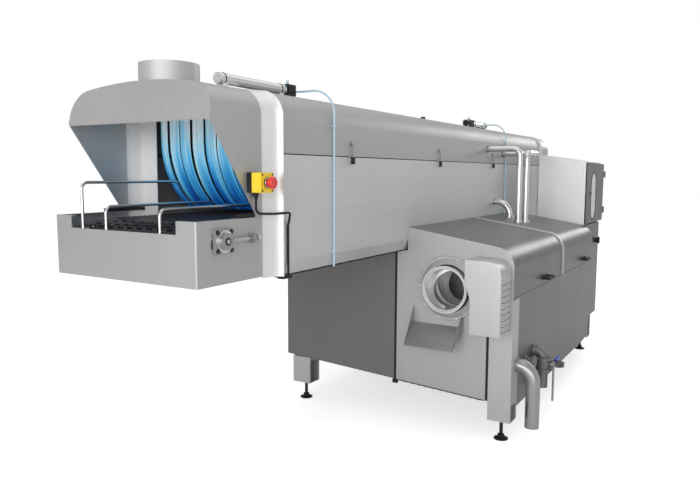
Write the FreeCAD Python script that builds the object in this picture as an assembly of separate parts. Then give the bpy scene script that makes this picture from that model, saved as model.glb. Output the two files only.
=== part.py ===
"""Crate tunnel washer: a belt runs through a stainless tunnel with a hood and a trough
at each end, over a wash tank, with a filter tank and its rotary drum at the side."""
import FreeCAD, Part
import math
import os

V = FreeCAD.Vector
X_AXIS = V(1, 0, 0)
Y_AXIS = V(0, 1, 0)
Z_AXIS = V(0, 0, 1)

# Plant frame while modelling: x along the tunnel with 0 at its middle, y across with 0 on
# the tunnel's centreline and the filter tank on the minus side, z up from the floor.

# Sheet metal and clearances
sheet = 3.0
seat_gap = 0.3

# Tunnel
tunnel_length = 3184.0
tunnel_half = 350.0
tunnel_bottom = 846.0
fold_height = 891.0
fold_inset = 12.0
seam_drop = 125.0
seam_gap = 4.0
spring_height = 1390.0
shoulder_radius = 92.0
tunnel_crown_radius = 1950.0
pan_drop = 23.0
pan_edge = 26.0

# Tunnel mouths
mouth_half = 242.0
mouth_low = 925.0
mouth_rise = 10.0

# Flared end flanges
flare_length = 70.0
flange_half = 368.0
flange_crown_radius = 2100.0

# Hoods
hood_half = 330.0
hood_crown_radius = 1700.0
hood_length = 247.5
hood_lip_drop = 24.0
hood_lean = 24.0
hood_side_land = 35.0

# Exhaust spigot on the infeed hood
spigot_outer = 205.0
spigot_rise = 70.0
spigot_rim = 6.0
spigot_from_front = 162.0
spigot_collar_width = 4.0
spigot_collar_rise = 4.3

# Troughs
trough_length = 312.0
trough_low = 852.0
trough_top = 1055.0
trough_rim = 14.0
notch_half = 247.0
notch_height = 1013.0
wear_strip_height = 13.0
wear_strip_width = 13.0
wear_strip_from_front = 197.0

# Belt
belt_top = 1040.0
belt_thickness = 10.0
belt_width = 470.0
belt_nose_radius = 50.0
belt_centre_inset = 107.5
shaft_radius = 18.0
sprocket_width = 28.0
sprocket_count = 4
sprocket_spacing = 130.0
slider_count = 3
slider_width = 30.0
slider_spacing = 150.0
slider_depth = 9.0
bearer_width = 30.0
bearer_depth = 22.0
bearer_count = 6
return_bar_radius = 10.0

# Crate guides: three bent rods
guide_radius = 5.0
guide_bend = 22.0
high_guide_y = 197.0
high_guide_z = 1167.0
middle_guide_y = 79.0
middle_guide_z = 1089.0
near_guide_y = -171.0
near_guide_z = 1087.0
guide_foot_z = 975.0

# Strip curtains
strip_thickness = 3.0
strip_bottom = 1060.0
strip_straight = 80.0
strip_sweep = 145.0
strip_half_span = 238.0
strip_gap = 14.0
curtain_bar = 4.0
curtain_offset = 18.0

# Belt take-up on the infeed trough, bearings on the outfeed trough
bearing_length = 80.0
bearing_height = 77.0
bearing_depth = 16.0
bearing_boss_radius = 27.0
bearing_boss_depth = 14.0
screw_radius = 6.0
screw_reach = 134.0
lug_width = 10.0
lug_height = 34.0
lug_depth = 24.0
lug_place = 92.0

# Base
base_front = -597.5
wash_tank_length = 1996.0
wash_tank_far_y = 357.0
wash_tank_near_y = -284.0
base_low_far = 241.0
base_fall = 0.055
seal_width = 12.0
seal_depth = 6.0
tunnel_seal_height = 6.0

# Filter tank at the side
filter_length = 1615.5
filter_outer_y = -866.0
filter_inner_y = -296.0
cover_inner_y = -350.6
cover_top_z = 951.0
cover_fall = 0.157
cover_shoulder = 90.0
cover_seam = 660.0
side_low_front = 150.0
base_rise = 0.008
strap_width = 30.0
strap_thickness = 6.0
rear_corner_radius = 140.0
strap_x = 253.0
handle_length = 96.0
handle_reach = 34.0
handle_thickness = 14.0
handle_places = (-86.0, 776.0)
handle_z = 690.0

# Legs and feet
leg_width = 106.0
leg_depth = 90.0
leg_wall = 4.0
leg_bottom = 93.0
near_leg_top = 650.0
far_leg_y = 269.0
rear_leg_inset = 123.0
rear_near_leg_inset = 123.8
rear_near_leg_y = -763.0
foot_stem_radius = 8.0
foot_pad_radius = 32.0
foot_pad_height = 8.0
foot_hub_radius = 15.0
foot_hub_height = 14.0
foot_nut_height = 10.0
foot_nut_radius = 14.0

# Rotary drum screen
drum_y = -560.0
drum_z = 678.0
drum_radius = 105.0
drum_wall = 4.0
drum_front = -650.0
drum_length = 880.0
drum_pitch = 176.0
flight_height = 26.0
flight_thickness = 5.0
drum_lip = 4.0
drum_lip_length = 9.0
hoop_height = 7.0
hoop_width = 9.0
hoop_count = 3
hoop_spacing = 70.0
drum_shaft_radius = 18.0
drum_shaft_length = 60.0
collar_radius = 150.0
collar_edge = 6.0
collar_dish = 16.0
collar_throat = 112.0
roller_radius = 24.0
roller_width = 34.0
roller_angle = 38.0

# Discharge chute
chute_near_y = -637.0
chute_far_y = -386.0
chute_taper = 14.0
chute_step_z = 500.0
chute_cheek_z = 583.0
chute_lip_z = 403.0
chute_reach = 103.0
chute_lip_wall = 14.0

# Motor cover beside the drum
motor_cover_depth = 147.0
motor_cover_top = 835.0
motor_cover_bottom = 513.0
motor_cover_outer_y = -856.0
motor_cover_inner_y = -695.0
motor_cover_relief_y = -720.0
motor_cover_relief_top = 745.0
motor_cover_relief_low = 665.0
motor_cover_round = 62.0
louvre_count = 9
louvre_low = 530.0
louvre_spacing = 26.0
louvre_rise = 5.0
louvre_height = 14.0
louvre_margin = 24.0

# Pump housing and control cabinet at the far end
housing_near_y = -831.0
housing_length = 381.0
housing_low = 255.0
housing_top = 880.0
cabinet_length = 470.0
cabinet_near_y = -811.0
cabinet_width = 300.0
cabinet_top_low = 1281.0
cabinet_top_fall = 0.16
cabinet_wall = 4.0
door_thickness = 18.0
door_inset = 8.0
door_gap = 5.5
window_width = 140.0
window_height = 300.0
window_from_edge = 60.0
window_low = 912.0
window_thickness = 6.0
hinge_pin_radius = 3.5
hinge_eye_radius = 6.5
hinge_eye_height = 34.0
hinge_arm_height = 6.0
hinge_offset = 12.0
pin_clearance = 0.05
knob_radius = 16.0
knob_depth = 30.0
knob_bar = 9.0
knob_bar_height = 44.0
knob_from_rear = 109.3
knob_z = 760.0

# Emergency stop on the infeed hood
estop_size = 66.0
estop_base_depth = 20.0
estop_lid_depth = 38.0
estop_x = -1706.5
estop_z = 1170.0
button_radius = 20.0
button_depth = 16.0
button_stem_radius = 11.0
button_stem_gap = 0.3
button_travel = 4.0
button_standoff = 14.0
cable_radius = 4.0

# Air cylinders on the roof, with hoses
cylinder_y = -176.0
cylinder_radius = 19.0
front_cylinder_length = 366.0
rear_cylinder_length = 248.0
front_cylinder_cap = 55.0
rear_cylinder_cap = 90.0
cylinder_cap_half = 21.0
cylinder_rise = 36.0
cylinder_foot = 26.0
front_cylinder_x = -1703.0
rear_cylinder_x = 640.0
hose_radius = 4.0
hose_turn = 22.0
rear_hose_x = 796.0
roof_plug_x = -80.0

# Pipes
riser_radius = 17.0
riser_bend = 40.0
first_riser_x = 468.0
first_riser_y = -549.0
first_riser_drop = 40.0
second_riser_x = 538.0
second_riser_y = -570.0
second_riser_drop = 60.0
second_riser_run = 217.0
overflow_radius = 18.0
overflow_bend = 80.0
overflow_x = 615.0
overflow_z = 1030.0
pipe_flange_extra = 9.0
pipe_flange_depth = 6.0
drain_radius = 31.75
drain_wall = 2.5
drain_bend = 75.0
drain_x = -516.0
drain_z = 345.0
drain_end_z = 67.0
valve_x = -240.0
valve_pipe_radius = 24.0
valve_inlet_z = 352.0
valve_bend = 40.0
valve_z = 290.0
valve_body_height = 64.0
valve_body_half = 32.0
valve_flange_radius = 42.0
valve_flange_depth = 9.0
valve_out_z = 174.0
lever_width = 20.0
lever_thickness = 6.0
lever_length = 170.0
stem_radius = 7.0
lever_offset = 48.0
stem_clearance = 0.05
small_valve_x = 40.0
small_valve_z = 218.0
small_pipe_radius = 12.0
small_valve_half = 20.0
small_handle_length = 72.0
small_handle_width = 14.0
small_handle_depth = 10.0
small_handle_lift = 5.5
port_x = -385.0
port_z = 330.0
port_radius = 23.0
port_reach = 46.0

# Latches on the tunnel seam
latch_places = (-1121.0, -253.0, 555.0)
latch_width = 30.0
latch_height = 46.0
latch_depth = 14.0


def box(x0, x1, y0, y1, z0, z1):
    """A block between two corners."""
    return Part.makeBox(x1 - x0, y1 - y0, z1 - z0, V(x0, y0, z0))


def rod(radius, start, end):
    """A round bar from one point to another."""
    along = end.sub(start)
    return Part.makeCylinder(radius, along.Length, start, along)


def prism(points, along):
    """A flat outline of straight edges, pushed along a vector."""
    wire = Part.makePolygon(points + [points[0]])
    return Part.Face(wire).extrude(along)


def bent_path(points, bend):
    """Straight runs joined by tangent arcs, of one radius or of one for each corner."""
    edges = []
    here = points[0]
    radii = bend if isinstance(bend, list) else [bend] * (len(points) - 2)
    for before, corner, after, radius in zip(points, points[1:], points[2:], radii):
        inward = before.sub(corner).normalize()
        outward = after.sub(corner).normalize()
        half_turn = (math.pi - inward.getAngle(outward)) / 2
        setback = radius * math.tan(half_turn)
        start = corner.add(inward * setback)
        end = corner.add(outward * setback)
        bisector = inward.add(outward).normalize()
        reach = radius / math.cos(half_turn) - radius
        edges.append(Part.LineSegment(here, start).toShape())
        edges.append(Part.Arc(start, corner.add(bisector * reach), end).toShape())
        here = end
    edges.append(Part.LineSegment(here, points[-1]).toShape())
    return Part.Wire(edges)


def bent_tube(points, radius, bend):
    """A round bar or hose that follows a bent path."""
    path = bent_path(points, bend)
    start_direction = points[1].sub(points[0])
    circle = Part.Wire([Part.makeCircle(radius, points[0], start_direction)])
    return path.makePipeShell([circle], True, False)


def arch_wire(x, half, radius, crown, low):
    """Closed outline across the tunnel: plumb sides, round shoulders, low crowned top."""
    side = half - radius
    crown_centre = spring_height - math.sqrt((crown - radius) ** 2 - side ** 2)
    lean = math.asin(side / (crown - radius))
    joint_y = crown * math.sin(lean)
    joint_z = crown_centre + crown * math.cos(lean)
    mid = (math.pi / 2 + lean) / 2
    mid_y = side + radius * math.sin(mid)
    mid_z = spring_height + radius * math.cos(mid)
    edges = [
        Part.LineSegment(V(x, -half, low), V(x, -half, spring_height)).toShape(),
        Part.Arc(V(x, -half, spring_height), V(x, -mid_y, mid_z), V(x, -joint_y, joint_z)).toShape(),
        Part.Arc(V(x, -joint_y, joint_z), V(x, 0, crown_centre + crown), V(x, joint_y, joint_z)).toShape(),
        Part.Arc(V(x, joint_y, joint_z), V(x, mid_y, mid_z), V(x, half, spring_height)).toShape(),
        Part.LineSegment(V(x, half, spring_height), V(x, half, low)).toShape(),
        Part.LineSegment(V(x, half, low), V(x, -half, low)).toShape(),
    ]
    return Part.Wire(edges)


def arch_solid(x0, x1, half, radius, crown, low):
    """The arch outline pushed from x0 to x1."""
    return Part.Face(arch_wire(x0, half, radius, crown, low)).extrude(V(x1 - x0, 0, 0))


def mirror_x(shape):
    """The same piece at the other end of the tunnel."""
    return shape.mirror(V(0, 0, 0), X_AXIS)


def mirror_y(shape):
    """The same piece on the other side of the centreline."""
    return shape.mirror(V(0, 0, 0), Y_AXIS)


seam_height = spring_height - seam_drop
mouth_top = spring_height + mouth_rise
hood_lip_height = spring_height - hood_lip_drop
cylinder_z = spring_height + shoulder_radius + cylinder_rise
first_riser_z = spring_height - first_riser_drop
second_riser_z = spring_height - second_riser_drop
clear_top = spring_height + shoulder_radius
tunnel_end = tunnel_length / 2
flare_start = tunnel_end + flare_length
trough_end = flare_start + trough_length
hood_end = flare_start + hood_length
belt_centre_x = trough_end - belt_centre_inset
belt_centre_z = belt_top - belt_nose_radius
base_rear = base_front + wash_tank_length
filter_rear = base_front + filter_length
housing_rear = filter_rear + seat_gap + housing_length
rear_leg_x = base_rear - rear_leg_inset
rear_near_leg_x = housing_rear - rear_near_leg_inset
knob_x = housing_rear - knob_from_rear


def base_low(y):
    """Height of the sloping tank bottoms at a place across the machine."""
    return base_low_far - base_fall * (wash_tank_far_y - y)


def below_tanks(y0, y1, lift):
    """The space under the tank bottoms, which fall to the outer side and rise to the rear."""
    x0 = base_front - 5
    length = wash_tank_length + 20
    return prism([
        V(x0, y0, -1000), V(x0, y1, -1000),
        V(x0, y1, base_low(y1) + lift), V(x0, y0, base_low(y0) + lift),
    ], V(length, 0, base_rise * length))


def rear_corner(inset):
    """The space outside the rounded lower corner at the filter tank's rear."""
    centre_x = filter_rear - rear_corner_radius
    centre_z = side_low_front + base_rise * filter_length + rear_corner_radius
    y0 = filter_outer_y - 10
    block = box(centre_x, filter_rear + 10, y0, filter_inner_y + 10, 0, centre_z)
    return block.cut(rod(
        rear_corner_radius - inset, V(centre_x, y0 - 1, centre_z), V(centre_x, filter_inner_y + 11, centre_z),
    ))


def cover_height(y):
    """Height of the sloping top of the filter tank's covers."""
    return cover_top_z - cover_fall * (cover_inner_y - y)


def tunnel_walls():
    """Two side walls with an inward fold along the lower edge."""
    outer = tunnel_half
    outline = [
        V(-tunnel_end, -outer + fold_inset, tunnel_bottom),
        V(-tunnel_end, -outer, fold_height),
        V(-tunnel_end, -outer, seam_height),
        V(-tunnel_end, -outer + sheet, seam_height),
        V(-tunnel_end, -outer + sheet, fold_height),
        V(-tunnel_end, -outer + fold_inset + sheet, tunnel_bottom),
    ]
    near = prism(outline, V(tunnel_length, 0, 0))
    return [near, mirror_y(near)]


def tunnel_roof():
    """The arched upper part that sits on the walls."""
    low = seam_height + seam_gap
    outer = arch_solid(-tunnel_end, tunnel_end, tunnel_half, shoulder_radius, tunnel_crown_radius, low)
    inner = arch_solid(
        -tunnel_end - 1, tunnel_end + 1, tunnel_half - sheet,
        shoulder_radius - sheet, tunnel_crown_radius - sheet, low - 1,
    )
    return [outer.cut(inner)]


def tunnel_pan():
    """Shallow V-shaped floor between the walls, which sheds water to the middle."""
    edge_low = tunnel_bottom + pan_edge
    fold_share = (fold_height - edge_low) / (fold_height - tunnel_bottom)
    half = tunnel_half - fold_inset * fold_share - sheet - seat_gap
    outline = [
        V(-tunnel_end, -half, edge_low),
        V(-tunnel_end, 0, edge_low - pan_drop),
        V(-tunnel_end, half, edge_low),
        V(-tunnel_end, half, edge_low + sheet),
        V(-tunnel_end, 0, edge_low - pan_drop + sheet),
        V(-tunnel_end, -half, edge_low + sheet),
    ]
    return [prism(outline, V(tunnel_length, 0, 0))]


def mouth_frames():
    """End plates inside the tunnel, each with the mouth that crates pass through."""
    inset = sheet + seat_gap
    low = tunnel_bottom + pan_edge + sheet + seat_gap
    plate = arch_solid(
        -tunnel_end, -tunnel_end + sheet, tunnel_half - inset,
        shoulder_radius - inset, tunnel_crown_radius - inset, fold_height,
    )
    fold_share = (fold_height - low) / (fold_height - tunnel_bottom)
    low_half = tunnel_half - fold_inset * fold_share - inset
    foot = prism([
        V(-tunnel_end, -tunnel_half + inset, fold_height),
        V(-tunnel_end, -low_half, low),
        V(-tunnel_end, low_half, low),
        V(-tunnel_end, tunnel_half - inset, fold_height),
    ], V(sheet, 0, 0))
    mouth = box(-tunnel_end - 1, -tunnel_end + sheet + 1, -mouth_half, mouth_half, mouth_low, mouth_top)
    frame = plate.fuse(foot).removeSplitter().cut(mouth)
    half = strip_half_span + 10
    far_side = mirror_x(frame)
    front_bar = box(
        -tunnel_end + sheet - 1, infeed_curtain_x + strip_thickness, -half, half,
        mouth_top + seat_gap, mouth_top + curtain_bar,
    )
    rear_bar = box(
        outfeed_curtain_x, tunnel_end - sheet + 1, -half, half,
        mouth_top + seat_gap, mouth_top + curtain_bar,
    )
    return [frame.fuse(front_bar), far_side.fuse(rear_bar)]


def end_flanges():
    """Flared rims where the hoods and troughs widen to the tunnel."""
    grow = flange_half - hood_half
    crown_grow = flange_crown_radius - hood_crown_radius
    wires = []
    for share in (0.0, 0.45, 0.75, 0.93, 1.0):
        flare = 1 - math.sqrt(1 - share ** 2)
        wires.append(arch_wire(
            -flare_start + flare_length * share, hood_half + grow * flare,
            shoulder_radius, hood_crown_radius + crown_grow * flare, tunnel_bottom,
        ))
    outer = Part.makeLoft(wires, True, False)
    inner = arch_solid(
        -flare_start - 1, -tunnel_end + 1, hood_half - sheet,
        shoulder_radius - sheet, hood_crown_radius - sheet, tunnel_bottom - 1,
    )
    flange = outer.cut(inner)
    return [flange, mirror_x(flange)]


def hood_block(inset):
    """Outer form of a hood, or the space inside it when inset by the sheet."""
    front = -hood_end + inset
    low = trough_top + seat_gap - (5 if inset else 0)
    rear = -flare_start - seat_gap + (5 if inset else 0)
    block = arch_solid(
        front, rear, hood_half - inset, shoulder_radius - inset, hood_crown_radius - inset, low,
    )
    lean_top = spring_height + shoulder_radius + 60
    lean = hood_lean * (lean_top - hood_lip_height) / (spring_height + shoulder_radius - hood_lip_height)
    wide = hood_half + 10
    wedge = prism([
        V(front - 5, -wide, hood_lip_height),
        V(front, -wide, hood_lip_height),
        V(front + lean, -wide, lean_top),
        V(front - 5, -wide, lean_top),
    ], V(0, 2 * wide, 0))
    return block.cut(wedge)


def hood_slant_cut():
    """The space under the slanting lower edges of a hood's cheeks."""
    wide = hood_half + 10
    land_x = -flare_start - hood_side_land
    return prism([
        V(-hood_end - 10, -wide, hood_lip_height),
        V(-hood_end, -wide, hood_lip_height),
        V(land_x, -wide, trough_top + 10),
        V(land_x, -wide, trough_top - 20),
        V(-hood_end - 10, -wide, trough_top - 20),
    ], V(0, 2 * wide, 0))


def plain_hood():
    """A hood shell at the infeed end, with no spigot hole."""
    outer = hood_block(0.0)
    inner = hood_block(sheet)
    return outer.cut(inner).cut(hood_slant_cut())


spigot_x = -hood_end + spigot_from_front


def infeed_hood():
    """The hood over the infeed, open below, with a hole under the exhaust spigot."""
    hole = Part.makeCylinder(spigot_outer / 2 - sheet, 400, V(spigot_x, 0, spring_height), Z_AXIS)
    return [plain_hood().cut(hole)]


def outfeed_hood():
    """The same hood at the outfeed, turned about."""
    return [mirror_x(plain_hood())]


def exhaust_spigot():
    """Round duct stub on the hood's crown, with a collar at its foot and its rim turned in."""
    top = spring_height + shoulder_radius + spigot_rise + 17.0
    radius = spigot_outer / 2
    tube = Part.makeCylinder(radius, top - spring_height, V(spigot_x, 0, spring_height), Z_AXIS)
    bore = Part.makeCylinder(radius - sheet, top - spring_height + 2, V(spigot_x, 0, spring_height - 1), Z_AXIS)
    rim = Part.makeCylinder(radius - 1, spigot_rim, V(spigot_x, 0, top - spigot_rim), Z_AXIS)
    rim = rim.cut(Part.makeCylinder(radius - spigot_rim, top, V(spigot_x, 0, spring_height), Z_AXIS))
    side = hood_half - shoulder_radius
    reach = hood_crown_radius - shoulder_radius
    crown_top = spring_height - math.sqrt(reach ** 2 - side ** 2) + hood_crown_radius
    collar = Part.makeCylinder(
        radius + spigot_collar_width, crown_top + spigot_collar_rise - spring_height,
        V(spigot_x, 0, spring_height), Z_AXIS,
    )
    tube = tube.fuse(collar).cut(bore).fuse(rim)
    below = arch_solid(
        -hood_end - 50, -flare_start + 50, hood_half, shoulder_radius, hood_crown_radius, trough_top,
    )
    return [tube.cut(below)]


def trough():
    """Folded sheet box round the end of the belt, with a notched end plate."""
    outer = box(-trough_end, -flare_start - seat_gap, -hood_half, hood_half, trough_low, trough_top)
    upright = [e for e in outer.Edges if abs(e.tangentAt(e.FirstParameter).z) > 0.9 and e.CenterOfMass.x < -trough_end + 1]
    outer = outer.makeFillet(6.0, upright)
    inner = box(
        -trough_end + sheet, -flare_start + 5, -hood_half + sheet, hood_half - sheet,
        trough_low + sheet, trough_top - sheet,
    )
    mouth = box(
        -trough_end + sheet + trough_rim, -flare_start + 5, -hood_half + sheet + trough_rim,
        hood_half - sheet - trough_rim, trough_top - sheet - 1, trough_top + 1,
    )
    notch = box(-trough_end - 1, -trough_end + sheet + trough_rim + 1, -notch_half, notch_half, notch_height, trough_top + 1)
    shell = outer.cut(inner).cut(mouth).cut(notch)
    slot_half = shaft_radius + 26
    slot = box(
        -belt_centre_x - slot_half, -belt_centre_x + slot_half, -hood_half - 1, hood_half + 1,
        belt_centre_z - shaft_radius - 4, belt_centre_z + shaft_radius + 4,
    )
    tail = box(
        -flare_start - seat_gap - 1, -tunnel_end - seat_gap, -hood_half + sheet + seat_gap,
        hood_half - sheet - seat_gap, trough_low, trough_low + sheet,
    )
    return shell.cut(slot).fuse(tail).removeSplitter()


def infeed_trough():
    """The trough that crates are set into."""
    return [trough()]


def outfeed_trough():
    """The same trough at the outfeed."""
    return [mirror_x(trough())]


def wear_strips():
    """Plastic strips on the rims of both troughs' side walls."""
    y1 = hood_half - sheet - seat_gap
    z0 = trough_top + seat_gap
    near = box(
        -trough_end + wear_strip_from_front, -tunnel_end - seat_gap, -y1, -y1 + wear_strip_width,
        z0, z0 + wear_strip_height,
    )
    return [near, mirror_y(near), mirror_x(near), mirror_x(mirror_y(near))]


def stadium(radius, half_width):
    """The space inside a belt that wraps both noses at a given radius."""
    nose = Part.makeCylinder(radius, 2 * half_width, V(-belt_centre_x, -half_width, belt_centre_z), Y_AXIS)
    middle = box(
        -belt_centre_x, belt_centre_x, -half_width, half_width,
        belt_centre_z - radius, belt_centre_z + radius,
    )
    return nose.fuse(middle).fuse(mirror_x(nose)).removeSplitter()


def conveyor_belt():
    """One closed loop of belt round the tail and drive shafts."""
    outer = stadium(belt_nose_radius, belt_width / 2)
    inner = stadium(belt_nose_radius - belt_thickness, belt_width / 2 + 1)
    return [outer.cut(inner)]


def belt_shaft(x, half):
    """A cross shaft with its row of sprockets inside the belt."""
    shaft = rod(shaft_radius, V(x, -half, belt_centre_z), V(x, half, belt_centre_z))
    wheel_radius = belt_nose_radius - belt_thickness - seat_gap
    first = -sprocket_spacing * (sprocket_count - 1) / 2
    for index in range(sprocket_count):
        middle = first + sprocket_spacing * index
        wheel = rod(
            wheel_radius, V(x, middle - sprocket_width / 2, belt_centre_z),
            V(x, middle + sprocket_width / 2, belt_centre_z),
        )
        shaft = shaft.fuse(wheel)
    return shaft


bearing_outer = hood_half + seat_gap + bearing_depth + bearing_boss_depth


def belt_shafts():
    """Tail shaft at the infeed and drive shaft at the outfeed."""
    half = bearing_outer - bearing_boss_depth / 2
    return [belt_shaft(-belt_centre_x, half), belt_shaft(belt_centre_x, half)]


def belt_bearing(x, slide):
    """Near-side bearing plate with its boss, and a take-up screw where it slides."""
    face = -hood_half - seat_gap
    plate = box(
        x - bearing_length / 2, x + bearing_length / 2, face - bearing_depth, face,
        belt_centre_z - bearing_height / 2, belt_centre_z + bearing_height / 2,
    )
    boss = rod(
        bearing_boss_radius, V(x, face - bearing_depth + 1, belt_centre_z),
        V(x, face - bearing_depth - bearing_boss_depth, belt_centre_z),
    )
    body = plate.fuse(boss)
    bore = rod(
        shaft_radius + 0.05, V(x, face + 1, belt_centre_z),
        V(x, face - bearing_depth - bearing_boss_depth / 2 - 1, belt_centre_z),
    )
    body = body.cut(bore)
    if not slide:
        return body
    screw_y = face - bearing_depth / 2 - 3
    screw = rod(
        screw_radius, V(x + bearing_length / 2 - 1, screw_y, belt_centre_z),
        V(x + bearing_length / 2 + screw_reach, screw_y, belt_centre_z),
    )
    lug_x = x + bearing_length / 2 + lug_place
    lug = box(
        lug_x, lug_x + lug_width, face - lug_depth, face,
        belt_centre_z - lug_height / 2, belt_centre_z + lug_height / 2,
    )
    nut = rod(
        screw_radius + 5, V(lug_x + lug_width, screw_y, belt_centre_z),
        V(lug_x + lug_width + 9, screw_y, belt_centre_z),
    )
    return body.fuse(screw).fuse(lug).fuse(nut)


def belt_takeups():
    """Sliding bearings with their screws, one each side of the infeed trough."""
    near = belt_bearing(-belt_centre_x, True)
    return [near, mirror_y(near)]


def drive_bearings():
    """Fixed bearings, one each side of the outfeed trough."""
    near = belt_bearing(belt_centre_x, False)
    return [near, mirror_y(near)]


def belt_supports():
    """Slider bars under the carrying run on cross bearers, and bars under the return run."""
    slider_top = belt_top - belt_thickness - seat_gap
    slider_end = belt_centre_x - belt_nose_radius
    bearer_top = slider_top - slider_depth
    wall_half = tunnel_half - sheet - seat_gap
    trough_half = hood_half - sheet - seat_gap
    frame = None
    first = -slider_spacing * (slider_count - 1) / 2
    for index in range(slider_count):
        middle = first + slider_spacing * index
        slider = box(
            -slider_end, slider_end, middle - slider_width / 2, middle + slider_width / 2,
            bearer_top, slider_top,
        )
        frame = slider if frame is None else frame.fuse(slider)
    spacing = (tunnel_length - 200) / (bearer_count - 1)
    for index in range(bearer_count):
        middle = -tunnel_end + 100 + spacing * index
        bearer = box(
            middle - bearer_width / 2, middle + bearer_width / 2, -wall_half, wall_half,
            bearer_top - bearer_depth, bearer_top,
        )
        frame = frame.fuse(bearer)
    for sign in (-1, 1):
        middle = sign * (flare_start + 80)
        bearer = box(
            middle - bearer_width / 2, middle + bearer_width / 2, -trough_half, trough_half,
            bearer_top - bearer_depth, bearer_top,
        )
        frame = frame.fuse(bearer)
    return [frame.removeSplitter()]


def return_bars():
    """Round bars across the tunnel that carry the belt's return run."""
    wall_half = tunnel_half - sheet - seat_gap
    height = belt_centre_z - belt_nose_radius - seat_gap - return_bar_radius
    bars = []
    spacing = (tunnel_length - 500) / 3
    for index in range(4):
        middle = -tunnel_end + 250 + spacing * index
        bars.append(rod(return_bar_radius, V(middle, -wall_half, height), V(middle, wall_half, height)))
    return bars


def crate_guide(y, height):
    """A bent rod that stands on both trough end plates and runs through the tunnel."""
    post_x = trough_end - sheet - seat_gap - guide_radius
    return bent_tube([
        V(-post_x, y, guide_foot_z), V(-post_x, y, height),
        V(post_x, y, height), V(post_x, y, guide_foot_z),
    ], guide_radius, guide_bend)


def crate_guides():
    """The high far guide and the two low guides."""
    return [
        crate_guide(high_guide_y, high_guide_z),
        crate_guide(middle_guide_y, middle_guide_z),
        crate_guide(near_guide_y, near_guide_z),
    ]


def strip_edges():
    """Places across the curtain where one strip ends and the next begins."""
    return [near_guide_y, -108.0, -46.0, 12.0, middle_guide_y, 138.0, high_guide_y]


def curtain_strip(x, y0, y1):
    """One strip that hangs plumb and then sweeps along the belt's travel."""
    straight_low = mouth_top - strip_straight
    drop = straight_low - strip_bottom
    radius = (drop ** 2 + strip_sweep ** 2) / (2 * strip_sweep)
    turn = math.asin(drop / radius)

    def arc(offset):
        size = radius - offset
        centre = V(x + radius, y0, straight_low)
        start = centre.sub(V(size, 0, 0))
        mid = centre.sub(V(size * math.cos(turn / 2), 0, size * math.sin(turn / 2)))
        end = centre.sub(V(size * math.cos(turn), 0, size * math.sin(turn)))
        return start, mid, end

    back_start, back_mid, back_end = arc(0.0)
    front_start, front_mid, front_end = arc(strip_thickness)
    top_back = V(x, y0, mouth_top)
    top_front = V(x + strip_thickness, y0, mouth_top)
    wire = Part.Wire([
        Part.LineSegment(top_back, back_start).toShape(),
        Part.Arc(back_start, back_mid, back_end).toShape(),
        Part.LineSegment(back_end, front_end).toShape(),
        Part.Arc(front_end, front_mid, front_start).toShape(),
        Part.LineSegment(front_start, top_front).toShape(),
        Part.LineSegment(top_front, top_back).toShape(),
    ])
    return Part.Face(wire).extrude(V(0, y1 - y0, 0))


def strip_curtain(x):
    """A row of overlapping-width strips with a slot where each guide rod passes."""
    breaks = strip_edges()
    starts = [-strip_half_span] + [place + strip_gap / 2 for place in breaks]
    ends = [place - strip_gap / 2 for place in breaks] + [strip_half_span]
    return [curtain_strip(x, y0, y1) for y0, y1 in zip(starts, ends)]


infeed_curtain_x = -tunnel_end + sheet + curtain_offset
outfeed_curtain_x = tunnel_end - sheet - curtain_offset - strip_sweep - strip_thickness


def infeed_curtain():
    """Strips behind the infeed mouth."""
    return strip_curtain(infeed_curtain_x)


def outfeed_curtain():
    """Strips ahead of the outfeed mouth."""
    return strip_curtain(outfeed_curtain_x)


def wash_tank():
    """Main tank under the tunnel: closed front, sides, rear and a bottom that falls."""
    top = tunnel_bottom - tunnel_seal_height

    def block(inset):
        y0 = wash_tank_near_y + inset
        y1 = wash_tank_far_y - inset
        high = top + (5 if inset else 0)
        body = box(base_front + inset, base_rear - inset, y0, y1, 0, high)
        return body.cut(below_tanks(y0 - 5, y1 + 5, inset))

    return [block(0.0).cut(block(sheet))]


def filter_outline(x, inset, low_at_wall):
    """Closed outline of the filter tank: sloping top, round shoulder, plumb outer side."""
    radius = cover_shoulder - inset
    centre_y = filter_outer_y + cover_shoulder
    slope = math.atan(cover_fall)
    touch_y = centre_y - cover_shoulder * math.sin(slope)
    centre_z = cover_height(touch_y) - cover_shoulder * math.cos(slope)
    top_y = centre_y - radius * math.sin(slope)
    top_z = centre_z + radius * math.cos(slope)
    mid = (math.pi / 2 + slope) / 2
    mid_point = V(x, centre_y - radius * math.sin(mid), centre_z + radius * math.cos(mid))
    side_y = centre_y - radius
    inner_y = filter_inner_y
    inner_top = top_z + cover_fall * (inner_y - top_y)
    return Part.Wire([
        Part.LineSegment(V(x, inner_y, low_at_wall), V(x, inner_y, inner_top)).toShape(),
        Part.LineSegment(V(x, inner_y, inner_top), V(x, top_y, top_z)).toShape(),
        Part.Arc(V(x, top_y, top_z), mid_point, V(x, side_y, centre_z)).toShape(),
        Part.LineSegment(V(x, side_y, centre_z), V(x, side_y, low_at_wall)).toShape(),
        Part.LineSegment(V(x, side_y, low_at_wall), V(x, inner_y, low_at_wall)).toShape(),
    ])


def under_tunnel(grow=0.0):
    """The space that the tunnel and its lower fold take up beside the filter tank."""
    return box(
        base_front - 10, base_rear + 10, cover_inner_y - grow, 0,
        tunnel_bottom - tunnel_seal_height - grow, clear_top,
    )


leg_near_y0 = filter_outer_y
leg_near_y1 = filter_outer_y + leg_width


def near_leg_notch(grow):
    """The corner of the filter tank that the front leg stands in."""
    return box(
        base_front - 10, base_front + leg_depth + grow, leg_near_y0 - 10, leg_near_y1 + grow,
        0, near_leg_top + grow,
    )


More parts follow.
